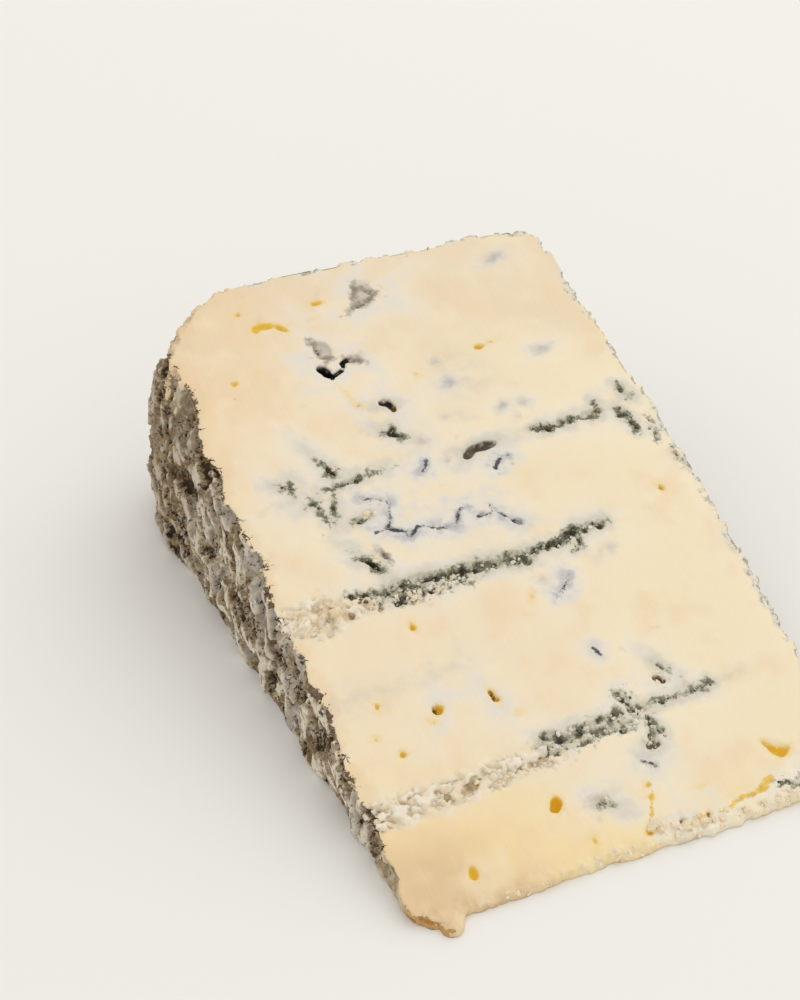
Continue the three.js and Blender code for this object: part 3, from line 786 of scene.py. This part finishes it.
class Finish:
    """A material under construction: each call adds nodes and gives back the last one's output.

    A value is a number, a colour, another call's output or the name of a number kept on the piece.
    """

    def __init__(self, name):
        self.material = bpy.data.materials.new(name)
        self.material.use_nodes = True
        self.tree = self.material.node_tree
        self.shader = self.tree.nodes["Principled BSDF"]
        coordinates = self.tree.nodes.new("ShaderNodeTexCoord").outputs["Object"]
        self.place = self.add("VectorMath", {0: coordinates, 1: (1 / MM,) * 3}, operation="MULTIPLY")

    def plug(self, socket, value):
        if isinstance(value, str):
            value = self.add("Attribute", {}, "Fac", attribute_name=value)
        if isinstance(value, bpy.types.NodeSocket):
            self.tree.links.new(value, socket)
        else:
            socket.default_value = value

    def add(self, kind, inputs, output=0, **settings):
        node = self.tree.nodes.new("ShaderNode" + kind)
        for name, value in settings.items():
            setattr(node, name, value)
        for name, value in inputs.items():
            self.plug(node.inputs[name], value)
        return node.outputs[output]

    def noise(self, size, detail=3, rough=0.6, turn=(0, 0, 0), stretch=(1, 1, 1)):
        place = self.add("Mapping", {"Vector": self.place, "Rotation": turn, "Scale": stretch})
        inputs = {"Vector": place, "Scale": 1 / size, "Detail": detail, "Roughness": rough}
        return self.add("TexNoise", inputs, "Fac")

    def graded(self, value, start, end, low=0.0, high=1.0):
        """Goes smoothly from low to high while the value goes from start to end."""
        inputs = {"Value": value, "From Min": start, "From Max": end, "To Min": low, "To Max": high}
        return self.add("MapRange", inputs, interpolation_type="SMOOTHSTEP")

    def spread(self, pattern, low, high):
        """A noise pattern, which lies mostly from 0.3 to 0.7, brought to go from low to high."""
        return self.graded(pattern, 0.3, 0.7, low, high)

    def varied(self, value, *patterns):
        """The value moved up and down by noise patterns, each given with its amount."""
        for pattern, amount in patterns:
            value = self.total((value, 1), (self.spread(pattern, -amount, amount), 1))
        return value

    def times(self, first, second):
        return self.add("Math", {0: first, 1: second}, operation="MULTIPLY")

    def total(self, *parts):
        """The sum of values, each given with its share."""
        added = 0.0
        for value, share in parts:
            added = self.add("Math", {0: value, 1: share, 2: added}, operation="MULTIPLY_ADD")
        return added

    def over(self, below, above, share):
        return self.add("Mix", {0: share, 6: below, 7: above}, 2, data_type="RGBA")

    def coats(self, colour, *rows):
        """Colours laid over one another: the new one, its value, start and end, its most and its limits."""
        for tint, value, start, end, *rest in rows:
            most, *limits = rest or [1.0]
            share = self.graded(value, start, end, 0, most)
            for limit in limits:
                share = self.times(share, limit)
            colour = self.over(colour, tint, share)
        return colour

    def wear(self, **values):
        for name, value in values.items():
            self.plug(self.shader.inputs[name.replace("_", " ").title()], value)


PASTE_CREAM = linear(244, 225, 191)
PASTE_LEMON = linear(247, 230, 194)
PASTE_PEACH = linear(242, 214, 172)
PASTE_BUTTER = linear(248, 222, 168)
PASTE_TAN = linear(228, 197, 152)
PASTE_DIM = linear(236, 215, 182)
BLOOM_WHITE = linear(245, 236, 216)
BLOOM_GREY = linear(229, 223, 213)
UNDER_RIND = linear(232, 203, 160)
SMUDGE_BLUE = linear(156, 158, 164)
CRUMBLE_WHITE = linear(244, 233, 213)
CRUMBLE_CREAM = linear(240, 222, 190)
CRUMBLE_OCHRE = linear(208, 180, 130)
MOULD_DARK = linear(72, 68, 48)
MOULD_GREEN = linear(129, 126, 101)
MOULD_PALE = linear(198, 193, 170)
MOULD_VEIL = linear(213, 206, 188)
ASH_LIGHT = linear(224, 215, 191)
CRACK_BLUE = linear(72, 74, 84)
AMBER_GLOW = linear(242, 214, 148)
AMBER_LIGHT = linear(240, 206, 112)
AMBER_DEEP = linear(238, 190, 26)
CURD_DULL = linear(206, 182, 142)
AMBER_BROWN = linear(206, 156, 84)
OCHRE_DARK = linear(126, 94, 34)
# Painted shade for the deep holes.
PIT_BLACK = linear(12, 8, 5)
PIT_BROWN = linear(112, 100, 82)
GREY_PALE = linear(208, 197, 180)
GREY_MOULD = linear(150, 138, 120)
RIND_EDGE = linear(86, 66, 40)
RIND_PALE = linear(226, 215, 195)
RIND_BLOOM = linear(200, 193, 183)
RIND_GREY = linear(180, 163, 136)
RIND_BROWN = linear(128, 106, 74)
RIND_DARK = linear(50, 35, 14)
RIND_TAN = linear(202, 182, 148)
RIM_PALE = linear(228, 223, 208)
RIM_SPECK = linear(152, 149, 132)
# Painted shade for the depths of the mould pits.
PIT_DARK = linear(58, 49, 34)

paste = Finish("blue_cheese")
fine = paste.noise(0.45, 4, 0.65)
grain = paste.noise(1.1, 4, 0.65)
cloudy = paste.noise(2.2, 2, 0.5)
blotch = paste.noise(5, 3)
marbled = paste.noise(7, 2, 0.5)
soft_patch = paste.spread(paste.noise(15, 2), -9, 9)
streak = paste.noise(1, 3, 0.6, (-WEDGE_ANGLE, 0, 0.05), (1.6, 0.05, 0.3))
# Broad tones of the paste: colour, shares of across, along and soft patch in its way, start, end and most.
colour = PASTE_CREAM
for tint, shares, start, end, most in (
    (PASTE_LEMON, (1, 0, 1), 0, 26, 1),
    (PASTE_PEACH, (-0.8, 1, 2), 84, 128, 0.9),
    (PASTE_DIM, (0.3, 1, 1), 84, 120, 0.8),
    (PASTE_BUTTER, (0.35, 1, 0.4), 15, 0, 1),
    (PASTE_TAN, (0.8, 1, 0.4), -5, -22, 0.95),
):
    way = paste.total(*zip(("across", "along", soft_patch), shares))
    colour = paste.coats(colour, (tint, way, start, end, most))
left = paste.graded("across", -13, -26)
right = paste.graded(left, 0, 1, 1, 0)
uneven_bloom = paste.times("bloom", paste.graded(blotch, 0.3, 0.62, 0.4, 1))
smudged = paste.times("smudge", paste.graded(cloudy, 0.28, 0.72, 0.2, 1))
colour = paste.coats(
    colour,
    (PASTE_LEMON, marbled, 0.5, 0.7, 0.5),
    (PASTE_PEACH, marbled, 0.5, 0.3, 0.5),
    (BLOOM_WHITE, streak, 0.52, 0.75, 0.14),
)
colour = paste.over(colour, BLOOM_WHITE, paste.times(uneven_bloom, 0.7))
colour = paste.coats(
    colour,
    (BLOOM_GREY, uneven_bloom, 0.35, 0.95, 0.7),
    (BLOOM_WHITE, paste.varied("dry", (grain, 0.35)), 0.2, 0.9, 0.6),
    (UNDER_RIND, paste.varied("skin", (blotch, -1.4)), 3.0, 0.2, 0.5, left),
)
colour = paste.over(colour, SMUDGE_BLUE, smudged)

# Broken curd, with painted shade in the gaps between its lumps, and the wet and dull eyes.
# The ochre lies in the gaps and hollows as painted shade, broken up by grain.
gap = paste.total(("gap", 1), (paste.spread(grain, -0.5, 0.4), 1), ("dip", 0.6))
crumbled = paste.coats(
    CRUMBLE_CREAM,
    (CRUMBLE_WHITE, paste.varied("lump", (grain, 0.3)), 0.4, 1.0),
    (CRUMBLE_OCHRE, gap, 0.35, 1.1, 0.6),
)
amber = paste.varied("amber", (fine, 0.15), (grain, 0.25))
amber_colour = paste.coats(AMBER_LIGHT, (AMBER_DEEP, "sunk", 0.15, 0.6))
seam_colour = paste.over(AMBER_LIGHT, AMBER_DEEP, paste.graded(grain, 0.35, 0.65, 0.1, 0.7))
colour = paste.coats(
    colour,
    (crumbled, paste.varied("pale", (blotch, 1.8)), -0.9, 0.9, 0.85),
    (CURD_DULL, paste.varied("dull", (grain, 0.3)), -0.4, 0.2, 0.9, paste.graded("sunk", 0, 0.3)),
    (AMBER_GLOW, amber, -0.7, 0.1, 0.6),
    (amber_colour, amber, -0.3, 0.05, 1, paste.graded("sunk", 0.02, 0.25)),
    (seam_colour, paste.varied("seam", (grain, 0.3)), -0.2, 0.1, 0.95),
    (GREY_PALE, paste.varied("grey", (cloudy, 0.4), (grain, 0.2)), -1.0, 0.8),
    (GREY_MOULD, paste.varied("streak", (cloudy, 0.3), (grain, 0.25)), -0.7, 0.5),
)

# The mould: a veil round it, ash, dark growth in clumps, blue cracks and the pits, with painted shade that
# darkens ash and mould in hollows and deeper down, and the deepest holes painted near black.
stain = paste.add("Math", {0: "blue", 1: "brown"}, operation="MAXIMUM")
# Ash specks of random tone, darkened by painted shade in the hollows.
specks_and_hollow_shade = paste.total(("dip", 1.2), (fine, 0.5), (grain, 0.5))
ash_colour = paste.coats(
    ASH_LIGHT,
    (MOULD_PALE, specks_and_hollow_shade, 0.3, 0.48),
    (MOULD_GREEN, specks_and_hollow_shade, 0.46, 0.68),
    (MOULD_DARK, specks_and_hollow_shade, 0.7, 1.0),
)
blue = paste.varied(paste.total(("blue", 1), ("clump", 1)), (grain, 0.5))
# The mould's tone: its clumps and grain, plus painted shade that darkens it in hollows and the deeper it lies
# below the cut.
mould_tone_and_depth_shade = paste.varied(paste.total((blue, 1), ("dip", 0.8), ("clump", 0.8)), (fine, 0.5))
mould_tone_and_depth_shade = paste.total((mould_tone_and_depth_shade, 1), (paste.graded("sunk", 0.4, 1.6), 1))
mould_colour = paste.coats(
    MOULD_PALE,
    (MOULD_GREEN, mould_tone_and_depth_shade, -0.3, 0.5),
    (MOULD_DARK, mould_tone_and_depth_shade, 0.5, 1.5),
    # Painted shade: the mould goes dark brown from 0.6 mm below the cut down.
    (PIT_DARK, "sunk", 0.6, 1.3, 0.95),
)
tinged = paste.total(("crack", 1), (paste.spread(cloudy, -1.2, 0.8), 1))
tinge_share = paste.graded("along", 36, 44, 0.35, 1)
crack = paste.varied(paste.total(("crack", 1), ("clump", 0.5)), (fine, 0.12))
colour = paste.coats(
    colour,
    (MOULD_VEIL, paste.varied(stain, (cloudy, 0.5)), -2.2, 0.1, 0.8),
    (ash_colour, paste.varied("ashy", (grain, 1.0)), -0.5, 0.3),
    (mould_colour, blue, -0.5, 0.2),
    (BLOOM_GREY, tinged, -3.6, -0.6, 0.95, tinge_share),
    (SMUDGE_BLUE, tinged, -1.5, 0.5, 0.55, tinge_share),
    (CRACK_BLUE, crack, -0.02, 0.26),
    (OCHRE_DARK, paste.varied("ochre", (grain, 0.3)), -0.2, 0.2, 1, paste.graded("sunk", 0.1, 0.6)),
    (PIT_BROWN, paste.varied("brown", (grain, 0.3)), -0.3, 0.3, 1, paste.graded("sunk", 0, 0.5)),
    # Painted shade: the deep holes go near black from 0.1 mm below the cut down.
    (PIT_BLACK, paste.varied("black", (grain, 0.2)), -0.4, 0.1, 1, paste.graded("sunk", 0.1, 0.7)),
)

# The rind: pale flakes, grey bloom near the cut, dark grime with painted shade in the crevices and hollows,
# painted shade towards the back-left corner, tan and amber at the tip.
weathered = paste.noise(1, 4, 0.65, stretch=(0.5, 0.5, 0.25))
gritty = paste.noise(0.55, 4, 0.75)
rind_tone = paste.varied("flake", (weathered, 0.35), (grain, 0.2))
bloomed = paste.noise(6, 2, 0.5, stretch=(1, 1, 0.6))
near_cut = paste.times(paste.graded("sunk", 7, 2, 0, 0.07), paste.graded("along", 25, 60))
bloomed = paste.total((bloomed, 1), (near_cut, 1))
back_left = paste.total(("along", 1), ("across", -1))
# Dark in the crevices and hollows: the rind's grime there, together with painted shade.
grime_and_crevice_shade = paste.varied(paste.total(("crevice", 0.7), ("dip", 0.7)), (gritty, 0.75))
grime_and_crevice_shade = paste.total((grime_and_crevice_shade, 1), (paste.spread(bloomed, 0.25, -0.3), 1))
rind_colour = paste.coats(
    RIND_BROWN,
    (RIND_GREY, rind_tone, -0.3, 0.4),
    (RIND_PALE, rind_tone, 0.35, 0.95),
    # Painted shade: less bloom and a browner rind towards the back-left corner, the side away from the light.
    (RIND_BLOOM, bloomed, 0.52, 0.64, 0.65, paste.graded(back_left, 105, 130, 1, 0.3)),
    (RIND_BROWN, back_left, 105, 140, 0.4),
    (RIND_DARK, grime_and_crevice_shade, 0.32, 0.7, 0.97),
    (RIND_DARK, grain, 0.54, 0.62, 0.9, paste.graded(weathered, 0.42, 0.58)),
    # A pale band at the top of the rind on the right, partly painted highlight where it faces the light.
    (RIM_PALE, paste.varied("sunk", (blotch, 1.5)), 1.8, 0.2, 0.5, right),
    (RIND_TAN, paste.varied("along", (blotch, 3)), 15, 4, 0.85),
    (AMBER_BROWN, paste.total(("along", 1), (blotch, 1)), 5, 2, 0.8, left),
)

# Where rind and paste meet: a pale rim on the right, partly painted highlight along the edges that face the
# light, a brown edge on the left, a bare corner at the back.
rough_edge = paste.varied("skin", (fine, 0.3))
rim_place = paste.total((rough_edge, 1), (paste.graded(blotch, 0.4, 0.65, 1.2, -0.4), 1))
rim_colour = paste.coats(RIM_PALE, (RIM_SPECK, paste.total((grain, 1), (fine, 0.4)), 0.68, 0.82))
edge = paste.total((rough_edge, 1), (paste.graded(blotch, 0.48, 0.68, 0.2, -0.8), 1))
edge_colour = paste.coats(RIND_EDGE, (RIND_BROWN, gritty, 0.4, 0.7))
to_corner = paste.varied(back_left, (blotch, 4), (grain, 2))
bare_depth = paste.varied("sunk", (grain, 1.2), (blotch, -2.5))
bare_corner = paste.times(paste.graded(to_corner, 137, 138.5), paste.graded(bare_depth, 3.9, 3.3))
covered = paste.graded(bare_corner, 0, 1, 1, 0.1)
rind_share = paste.times(paste.graded(paste.varied("wall", (fine, 0.2)), 0.3, 0.6), covered)
colour = paste.coats(
    colour,
    # The pale rim, partly painted highlight along the edges that face the light.
    (rim_colour, rim_place, 1.5, 0.5, 0.85, right),
    (edge_colour, edge, 0.4, 0.1, 1, left, paste.graded("along", 6, 18), covered),
)
colour = paste.over(colour, rind_colour, rind_share)

height = paste.total((paste.times(grain, rind_share), 0.5), (fine, 0.03), (streak, 0.05))
bump = paste.add("Bump", {"Height": height, "Strength": 1.0, "Distance": 0.6 * MM}, "Normal")
paste.wear(base_color=colour, roughness=paste.graded(rind_share, 0, 1, 0.5, 0.92), normal=bump)
paste.wear(subsurface_weight=0.15, subsurface_radius=(1.0, 0.55, 0.25), subsurface_scale=2 * MM)
cheese.data.materials.clear()
cheese.data.materials.append(paste.material)
take_up(cheese)
bpy.ops.object.shade_smooth()
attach(cheese, "root")
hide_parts("cheese_wedge")

# The blue mould's own tufts: dry grey-green spores that stand on the walls of the veins and pits.
# Each is a small ball of a few faces knocked out of shape, half sunk in the paste, all in one mesh.
# The same mesh has the dark threads that grow in from the rind along the cut face's left edge.
TUFTS_PER_SQUARE_MM = 5.0
ASHY_TUFTS_PER_SQUARE_MM = 1.5
EYE_TUFTS_PER_SQUARE_MM = {"mould": 2.5, "streak": 1.6}
EYE_TUFT_TONES = {"mould": (0, 1.2), "streak": (0.3, 0.9)}
TUFT_SIZES = (0.16, 0.5)
ASHY_TUFT_SIZES = (0.3, 0.85)
THREAD_TUFTS_PER_MM = 4.0
RIND_THREADS = 34
THREAD_STEP = 0.13
THREAD_SIZES = (0.3, 0.56)
CRACK_SPURS_PER_MM = 0.8
SPUR_SIZE = 0.24
SPUR_TONE = 0.1
BROWN_TONE = -1.0
RAY_HEIGHT = 6
FURTHEST_SEAT = 4 * MM
surface = BVHTree.FromObject(cheese, bpy.context.evaluated_depsgraph_get())


def shape_of_new_piece():
    """The points and faces of the primitive just added, which is then removed."""
    ball = bpy.context.object
    points = points_of(ball)[0]
    faces = [face.vertices[:] for face in ball.data.polygons]
    bpy.data.objects.remove(ball)
    return points, faces


def seat_lumps(name, ball, unevenness, spots, finish):
    """One mesh of many lumps on the cut face, from rows of across, along, size, tone and buried share."""
    ball_points, ball_faces = ball
    all_points, all_faces, tones = [], [], []
    for across, along, size, tone, buried in spots:
        hit, normal, _, _ = surface.ray_cast(on_cut(across, along, RAY_HEIGHT), -OUT_OF_CUT)
        turn = Quaternion(luck.normal(size=4)).normalized().to_matrix()
        shift = Vector(luck.uniform(0, 50, 3))
        swell = [1 + unevenness * noise.noise(Vector(point) * 1.3 + shift) for point in ball_points]
        shape = ball_points * np.array(swell)[:, None] * luck.uniform(0.65, 1.1, 3)
        shape = shape @ np.array(turn).T * size * MM / 2
        if hit is None or (hit - on_cut(across, along)).length > FURTHEST_SEAT:
            continue
        middle = hit + normal * (0.5 - buried) * size * MM
        middle.z = max(middle.z, -shape[:, 2].min())
        first = len(all_points) * len(ball_points)
        all_faces += [[first + corner for corner in face] for face in ball_faces]
        all_points.append(shape + np.array(middle))
        tones += [tone] * len(ball_points)
    mesh = bpy.data.meshes.new(name)
    mesh.from_pydata(np.vstack(all_points), [], all_faces)
    piece = bpy.data.objects.new(name, mesh)
    bpy.context.collection.objects.link(piece)
    remember(piece, "tone", tones)
    mesh.materials.append(finish.material)
    return piece


def grow_thread(across, along, heading, steps, thick, tone):
    """Tufts along one thread that wanders off, thins out and now and then branches."""
    spots = []
    for step in range(steps):
        heading += luck.uniform(-0.6, 0.6)
        across += THREAD_STEP * math.cos(heading)
        along += THREAD_STEP * math.sin(heading)
        size = thick * (1 - 0.6 * step / steps)
        spots.append((across, along, size * luck.uniform(0.7, 1.3), tone, luck.uniform(0.6, 0.9)))
        if luck.uniform() < 0.16 and steps - step > 4:
            side = heading + luck.choice((-1, 1)) * luck.uniform(0.6, 1.2)
            spots += grow_thread(across, along, side, (steps - step) * 2 // 3, 0.85 * size, tone)
    return spots


tuft_spots = []
for points, widths, crag, deep, growth in VEINS:
    length = line_points(points)[2]
    if growth in ("blue", "ashy"):
        density = TUFTS_PER_SQUARE_MM if growth == "blue" else ASHY_TUFTS_PER_SQUARE_MM
        count = int(density * length * (sum(widths) / 2 + 0.4))
        grown_widths = [width + 0.1 for width in widths]
    elif growth == "crack":
        count = int(THREAD_TUFTS_PER_MM * length)
        grown_widths = [0.25, 0.25]
    else:
        continue
    for across, along, heading in along_band(points, grown_widths, count):
        clump = clump_at(across, along)
        size = luck.uniform(*(ASHY_TUFT_SIZES if growth == "ashy" else TUFT_SIZES))
        tone = luck.uniform(0, 0.9) - 1.3 * clump + (0.35 if growth == "ashy" else 0)
        buried = luck.uniform(0.35, 0.75)
        if growth == "crack":
            if luck.uniform() < CRACK_SPURS_PER_MM / THREAD_TUFTS_PER_MM:
                heading = luck.uniform(0, 6)
                tuft_spots += grow_thread(across, along, heading, luck.integers(3, 7), SPUR_SIZE, SPUR_TONE)
        elif clump > luck.uniform(-0.3, 0.3):
            tuft_spots.append((across, along, size, max(tone, 0), buried))
for middle_across, middle_along, long, wide, deep, turn, lining in EYES:
    if lining in EYE_TUFT_TONES:
        for _ in range(int(EYE_TUFTS_PER_SQUARE_MM[lining] * long * wide)):
            reach = math.sqrt(luck.uniform(0, 0.6))
            angle = luck.uniform(0, 2 * math.pi)
            lengthwise = reach * math.cos(angle) * long / 2
            sidewise = reach * math.sin(angle) * wide / 2
            cos = math.cos(math.radians(turn))
            sin = math.sin(math.radians(turn))
            across = middle_across + lengthwise * cos - sidewise * sin
            along = middle_along + lengthwise * sin + sidewise * cos
            size = luck.uniform(*TUFT_SIZES)
            tone = luck.uniform(*EYE_TUFT_TONES[lining])
            tuft_spots.append((across, along, size, tone, luck.uniform(0.3, 0.7)))
for _ in range(RIND_THREADS):
    along = luck.uniform(12, 108)
    edge_place = rind_surface.ray_cast(on_cut(0, along, -0.1), -ACROSS)[0]
    across = (edge_place - CUT_START).dot(ACROSS) / MM
    thick = luck.uniform(*THREAD_SIZES)
    heading = luck.uniform(-1, 1)
    tuft_spots += grow_thread(across - 0.3, along, heading, luck.integers(8, 21), thick, BROWN_TONE)

spores = Finish("blue_mould_spores")
tone = spores.varied("tone", (spores.noise(0.3), 0.2))
spore_colour = spores.coats(
    MOULD_DARK,
    (MOULD_GREEN, tone, 0.1, 0.45),
    (MOULD_PALE, tone, 0.45, 0.85),
    (ASH_LIGHT, tone, 0.9, 1.3),
    (RIND_EDGE, tone, -0.3, -0.6),
)
spores.wear(base_color=spore_colour, roughness=0.95)
bpy.ops.object.select_all(action="DESELECT")
bpy.ops.mesh.primitive_ico_sphere_add(subdivisions=1, radius=1)
tufts = seat_lumps("blue_mould_tufts", shape_of_new_piece(), 0.5, tuft_spots, spores)
take_up(tufts)
bpy.ops.object.shade_smooth()
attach(tufts, "root")

# Loose crumbs of pale curd that the knife broke out of the dry, crumbly ends of the veins and the tip.
# Each is a rough lump of a few dozen faces resting in the vein, all in one mesh.
CRUMBS_PER_SQUARE_MM = {"pale": 0.1, "blue": 0.7, "ashy": 0.6}
CRUMB_SIZES = {"pale": (0.4, 1.1), "blue": (0.3, 0.9), "ashy": (0.4, 1.2)}
# Other places of crumbs: place across and along, spread across and along, count, sizes, tone.
CRUMB_HEAPS = (
    (-13, 51.3, 6, 1.3, 30, 0.3, 1.0, 1.2),
    (-34, 50.6, 0.6, 0.6, 4, 1.8, 3.0, 0.8),
    (-28.4, 51.4, 0.7, 0.4, 3, 1.6, 2.6, 0.8),
    (3, 19.8, 4.0, 1.4, 8, 0.5, 1.1, 1.4),
    (8.4, 21, 1.4, 3.2, 10, 0.5, 1.1, 1.4),
    (8.6, 16, 1.4, 2.0, 6, 0.5, 1.0, 1.4),
    (2.8, 2.4, 1.2, 0.9, 8, 1.0, 2.2, 0.8),
    (5.0, 1.2, 2.4, 0.7, 9, 0.6, 1.6, 0.8),
    (8.4, 1.7, 1.2, 0.7, 6, 0.6, 1.5, 0.8),
    (18, 1.2, 8.0, 0.9, 16, 0.4, 1.2, 0.8),
    (-4, 0.9, 5.0, 0.7, 9, 0.4, 1.2, 0.8),
    (4, 0.0, 27, 0.5, 50, 0.3, 0.9, 0.6),
    (18, 0.4, 12, 0.7, 22, 0.4, 1.4, 0.8),
    (-2.6, 8.4, 0.9, 0.8, 6, 0.4, 0.8, 0.8),
    (-14, 50.6, 5, 0.7, 9, 0.9, 1.6, 0.8),
    (15, 24.6, 1.2, 1.8, 8, 0.4, 0.8, 1.4),
    (-35.5, 17.4, 1.2, 2.0, 5, 0.8, 1.8, 0.8),
    (-16.6, 67.4, 0.4, 0.2, 3, 1.0, 1.7, 0.8),
    (-15.4, 67.3, 0.2, 0.2, 1, 1.2, 1.4, 0.8),
    (-18.5, 58.7, 0.3, 0.3, 3, 0.8, 1.3, 0.8),
    (-25.6, 75.9, 0.4, 0.5, 4, 0.4, 0.8, 0.8),
    (-18.2, 77.4, 0.3, 0.8, 4, 0.4, 0.8, 0.8),
)
crumb_spots = []
for points, widths, crag, deep, growth in VEINS:
    if growth in CRUMB_SIZES and min(widths) > 1.2:
        count = int(CRUMBS_PER_SQUARE_MM[growth] * line_points(points)[2] * sum(widths) / 2)
        for across, along, heading in along_band(points, [1.1 * width for width in widths], count):
            size = luck.uniform(*CRUMB_SIZES[growth])
            tone = luck.uniform(0.1, 1) if growth == "pale" else luck.uniform(1.4, 2.6)
            crumb_spots.append((across, along, size, tone, luck.uniform(0.5, 0.8)))
for across, along, wide, long, count, small, large, heap_tone in CRUMB_HEAPS:
    for _ in range(count):
        place = (across + wide * luck.uniform(-1, 1), along + long * luck.uniform(-1, 1))
        tone = heap_tone + luck.uniform(-0.6, 0.6)
        crumb_spots.append((*place, luck.uniform(small, large), tone, luck.uniform(0.45, 0.7)))

crumb_finish = Finish("pale_curd_crumb")
tone = crumb_finish.varied("tone", (crumb_finish.noise(0.5), 0.3))
crumb_colour = crumb_finish.coats(
    CRUMBLE_OCHRE,
    (CRUMBLE_CREAM, tone, -0.1, 0.2),
    (CRUMBLE_WHITE, tone, 0.7, 1.2),
    (BLOOM_GREY, tone, 1.3, 1.6),
    (MOULD_PALE, tone, 1.9, 2.3),
)
crumb_finish.wear(base_color=crumb_colour, roughness=0.9)
crumb_finish.wear(subsurface_weight=0.06, subsurface_radius=(1.0, 0.55, 0.25), subsurface_scale=1 * MM)
bpy.ops.object.select_all(action="DESELECT")
bpy.ops.mesh.primitive_uv_sphere_add(segments=8, ring_count=5, radius=1)
crumbs = seat_lumps("pale_curd_crumbs", shape_of_new_piece(), 0.9, crumb_spots, crumb_finish)
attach(crumbs, "root")

# A plain pale table under soft daylight from the right and behind.
# The camera stands where the photograph was taken from, and the table is the stage alone.
TABLE_COLOUR = linear(243, 241, 236)
TABLE_SIZE = 6
WINDOW_PLACE = (1.5, 0.8, 1.6)
WINDOW_SIZE = 3
WINDOW_POWER = 16
SKY_COLOUR = (1, 0.99, 0.97, 1)
SKY_STRENGTH = 0.84
table_finish = Finish("pale_table")
table_finish.wear(base_color=TABLE_COLOUR, roughness=0.8)
bpy.ops.object.select_all(action="DESELECT")
bpy.ops.mesh.primitive_plane_add(size=TABLE_SIZE, location=(0, 0, 0))
floor = bpy.context.object
floor.name = "floor"
floor.data.materials.append(table_finish.material)

bpy.ops.object.light_add(type="AREA", location=WINDOW_PLACE)
window = bpy.context.object
window.data.size = WINDOW_SIZE
window.data.energy = WINDOW_POWER
window.rotation_euler = (Vector((0, 0, 0)) - window.location).to_track_quat("-Z", "Y").to_euler()

sky = bpy.data.worlds.new("studio")
sky.use_nodes = True
sky.node_tree.nodes["Background"].inputs["Color"].default_value = SKY_COLOUR
sky.node_tree.nodes["Background"].inputs["Strength"].default_value = SKY_STRENGTH
bpy.context.scene.world = sky
bpy.context.scene.view_settings.view_transform = "Standard"

CAMERA_AZIMUTH = math.radians(-23.713)
CAMERA_ELEVATION = math.radians(35.507)
CAMERA_DISTANCE = 328.14 * MM
CAMERA_TARGET = WHEEL_AXIS + Vector((2.338, 94.051, 0)) * MM
FOCAL_PIXELS = 1800
IMAGE_HEIGHT = 1000
back = Vector(
    (
        math.sin(CAMERA_AZIMUTH) * math.cos(CAMERA_ELEVATION),
        -math.cos(CAMERA_AZIMUTH) * math.cos(CAMERA_ELEVATION),
        math.sin(CAMERA_ELEVATION),
    )
)
bpy.ops.object.camera_add(location=CAMERA_TARGET + back * CAMERA_DISTANCE)
camera = bpy.context.object
camera.rotation_euler = (-back).to_track_quat("-Z", "Y").to_euler()
camera.data.sensor_width = 36
camera.data.lens = camera.data.sensor_width * FOCAL_PIXELS / IMAGE_HEIGHT
camera.data.clip_start = 0.01
bpy.context.scene.camera = camera
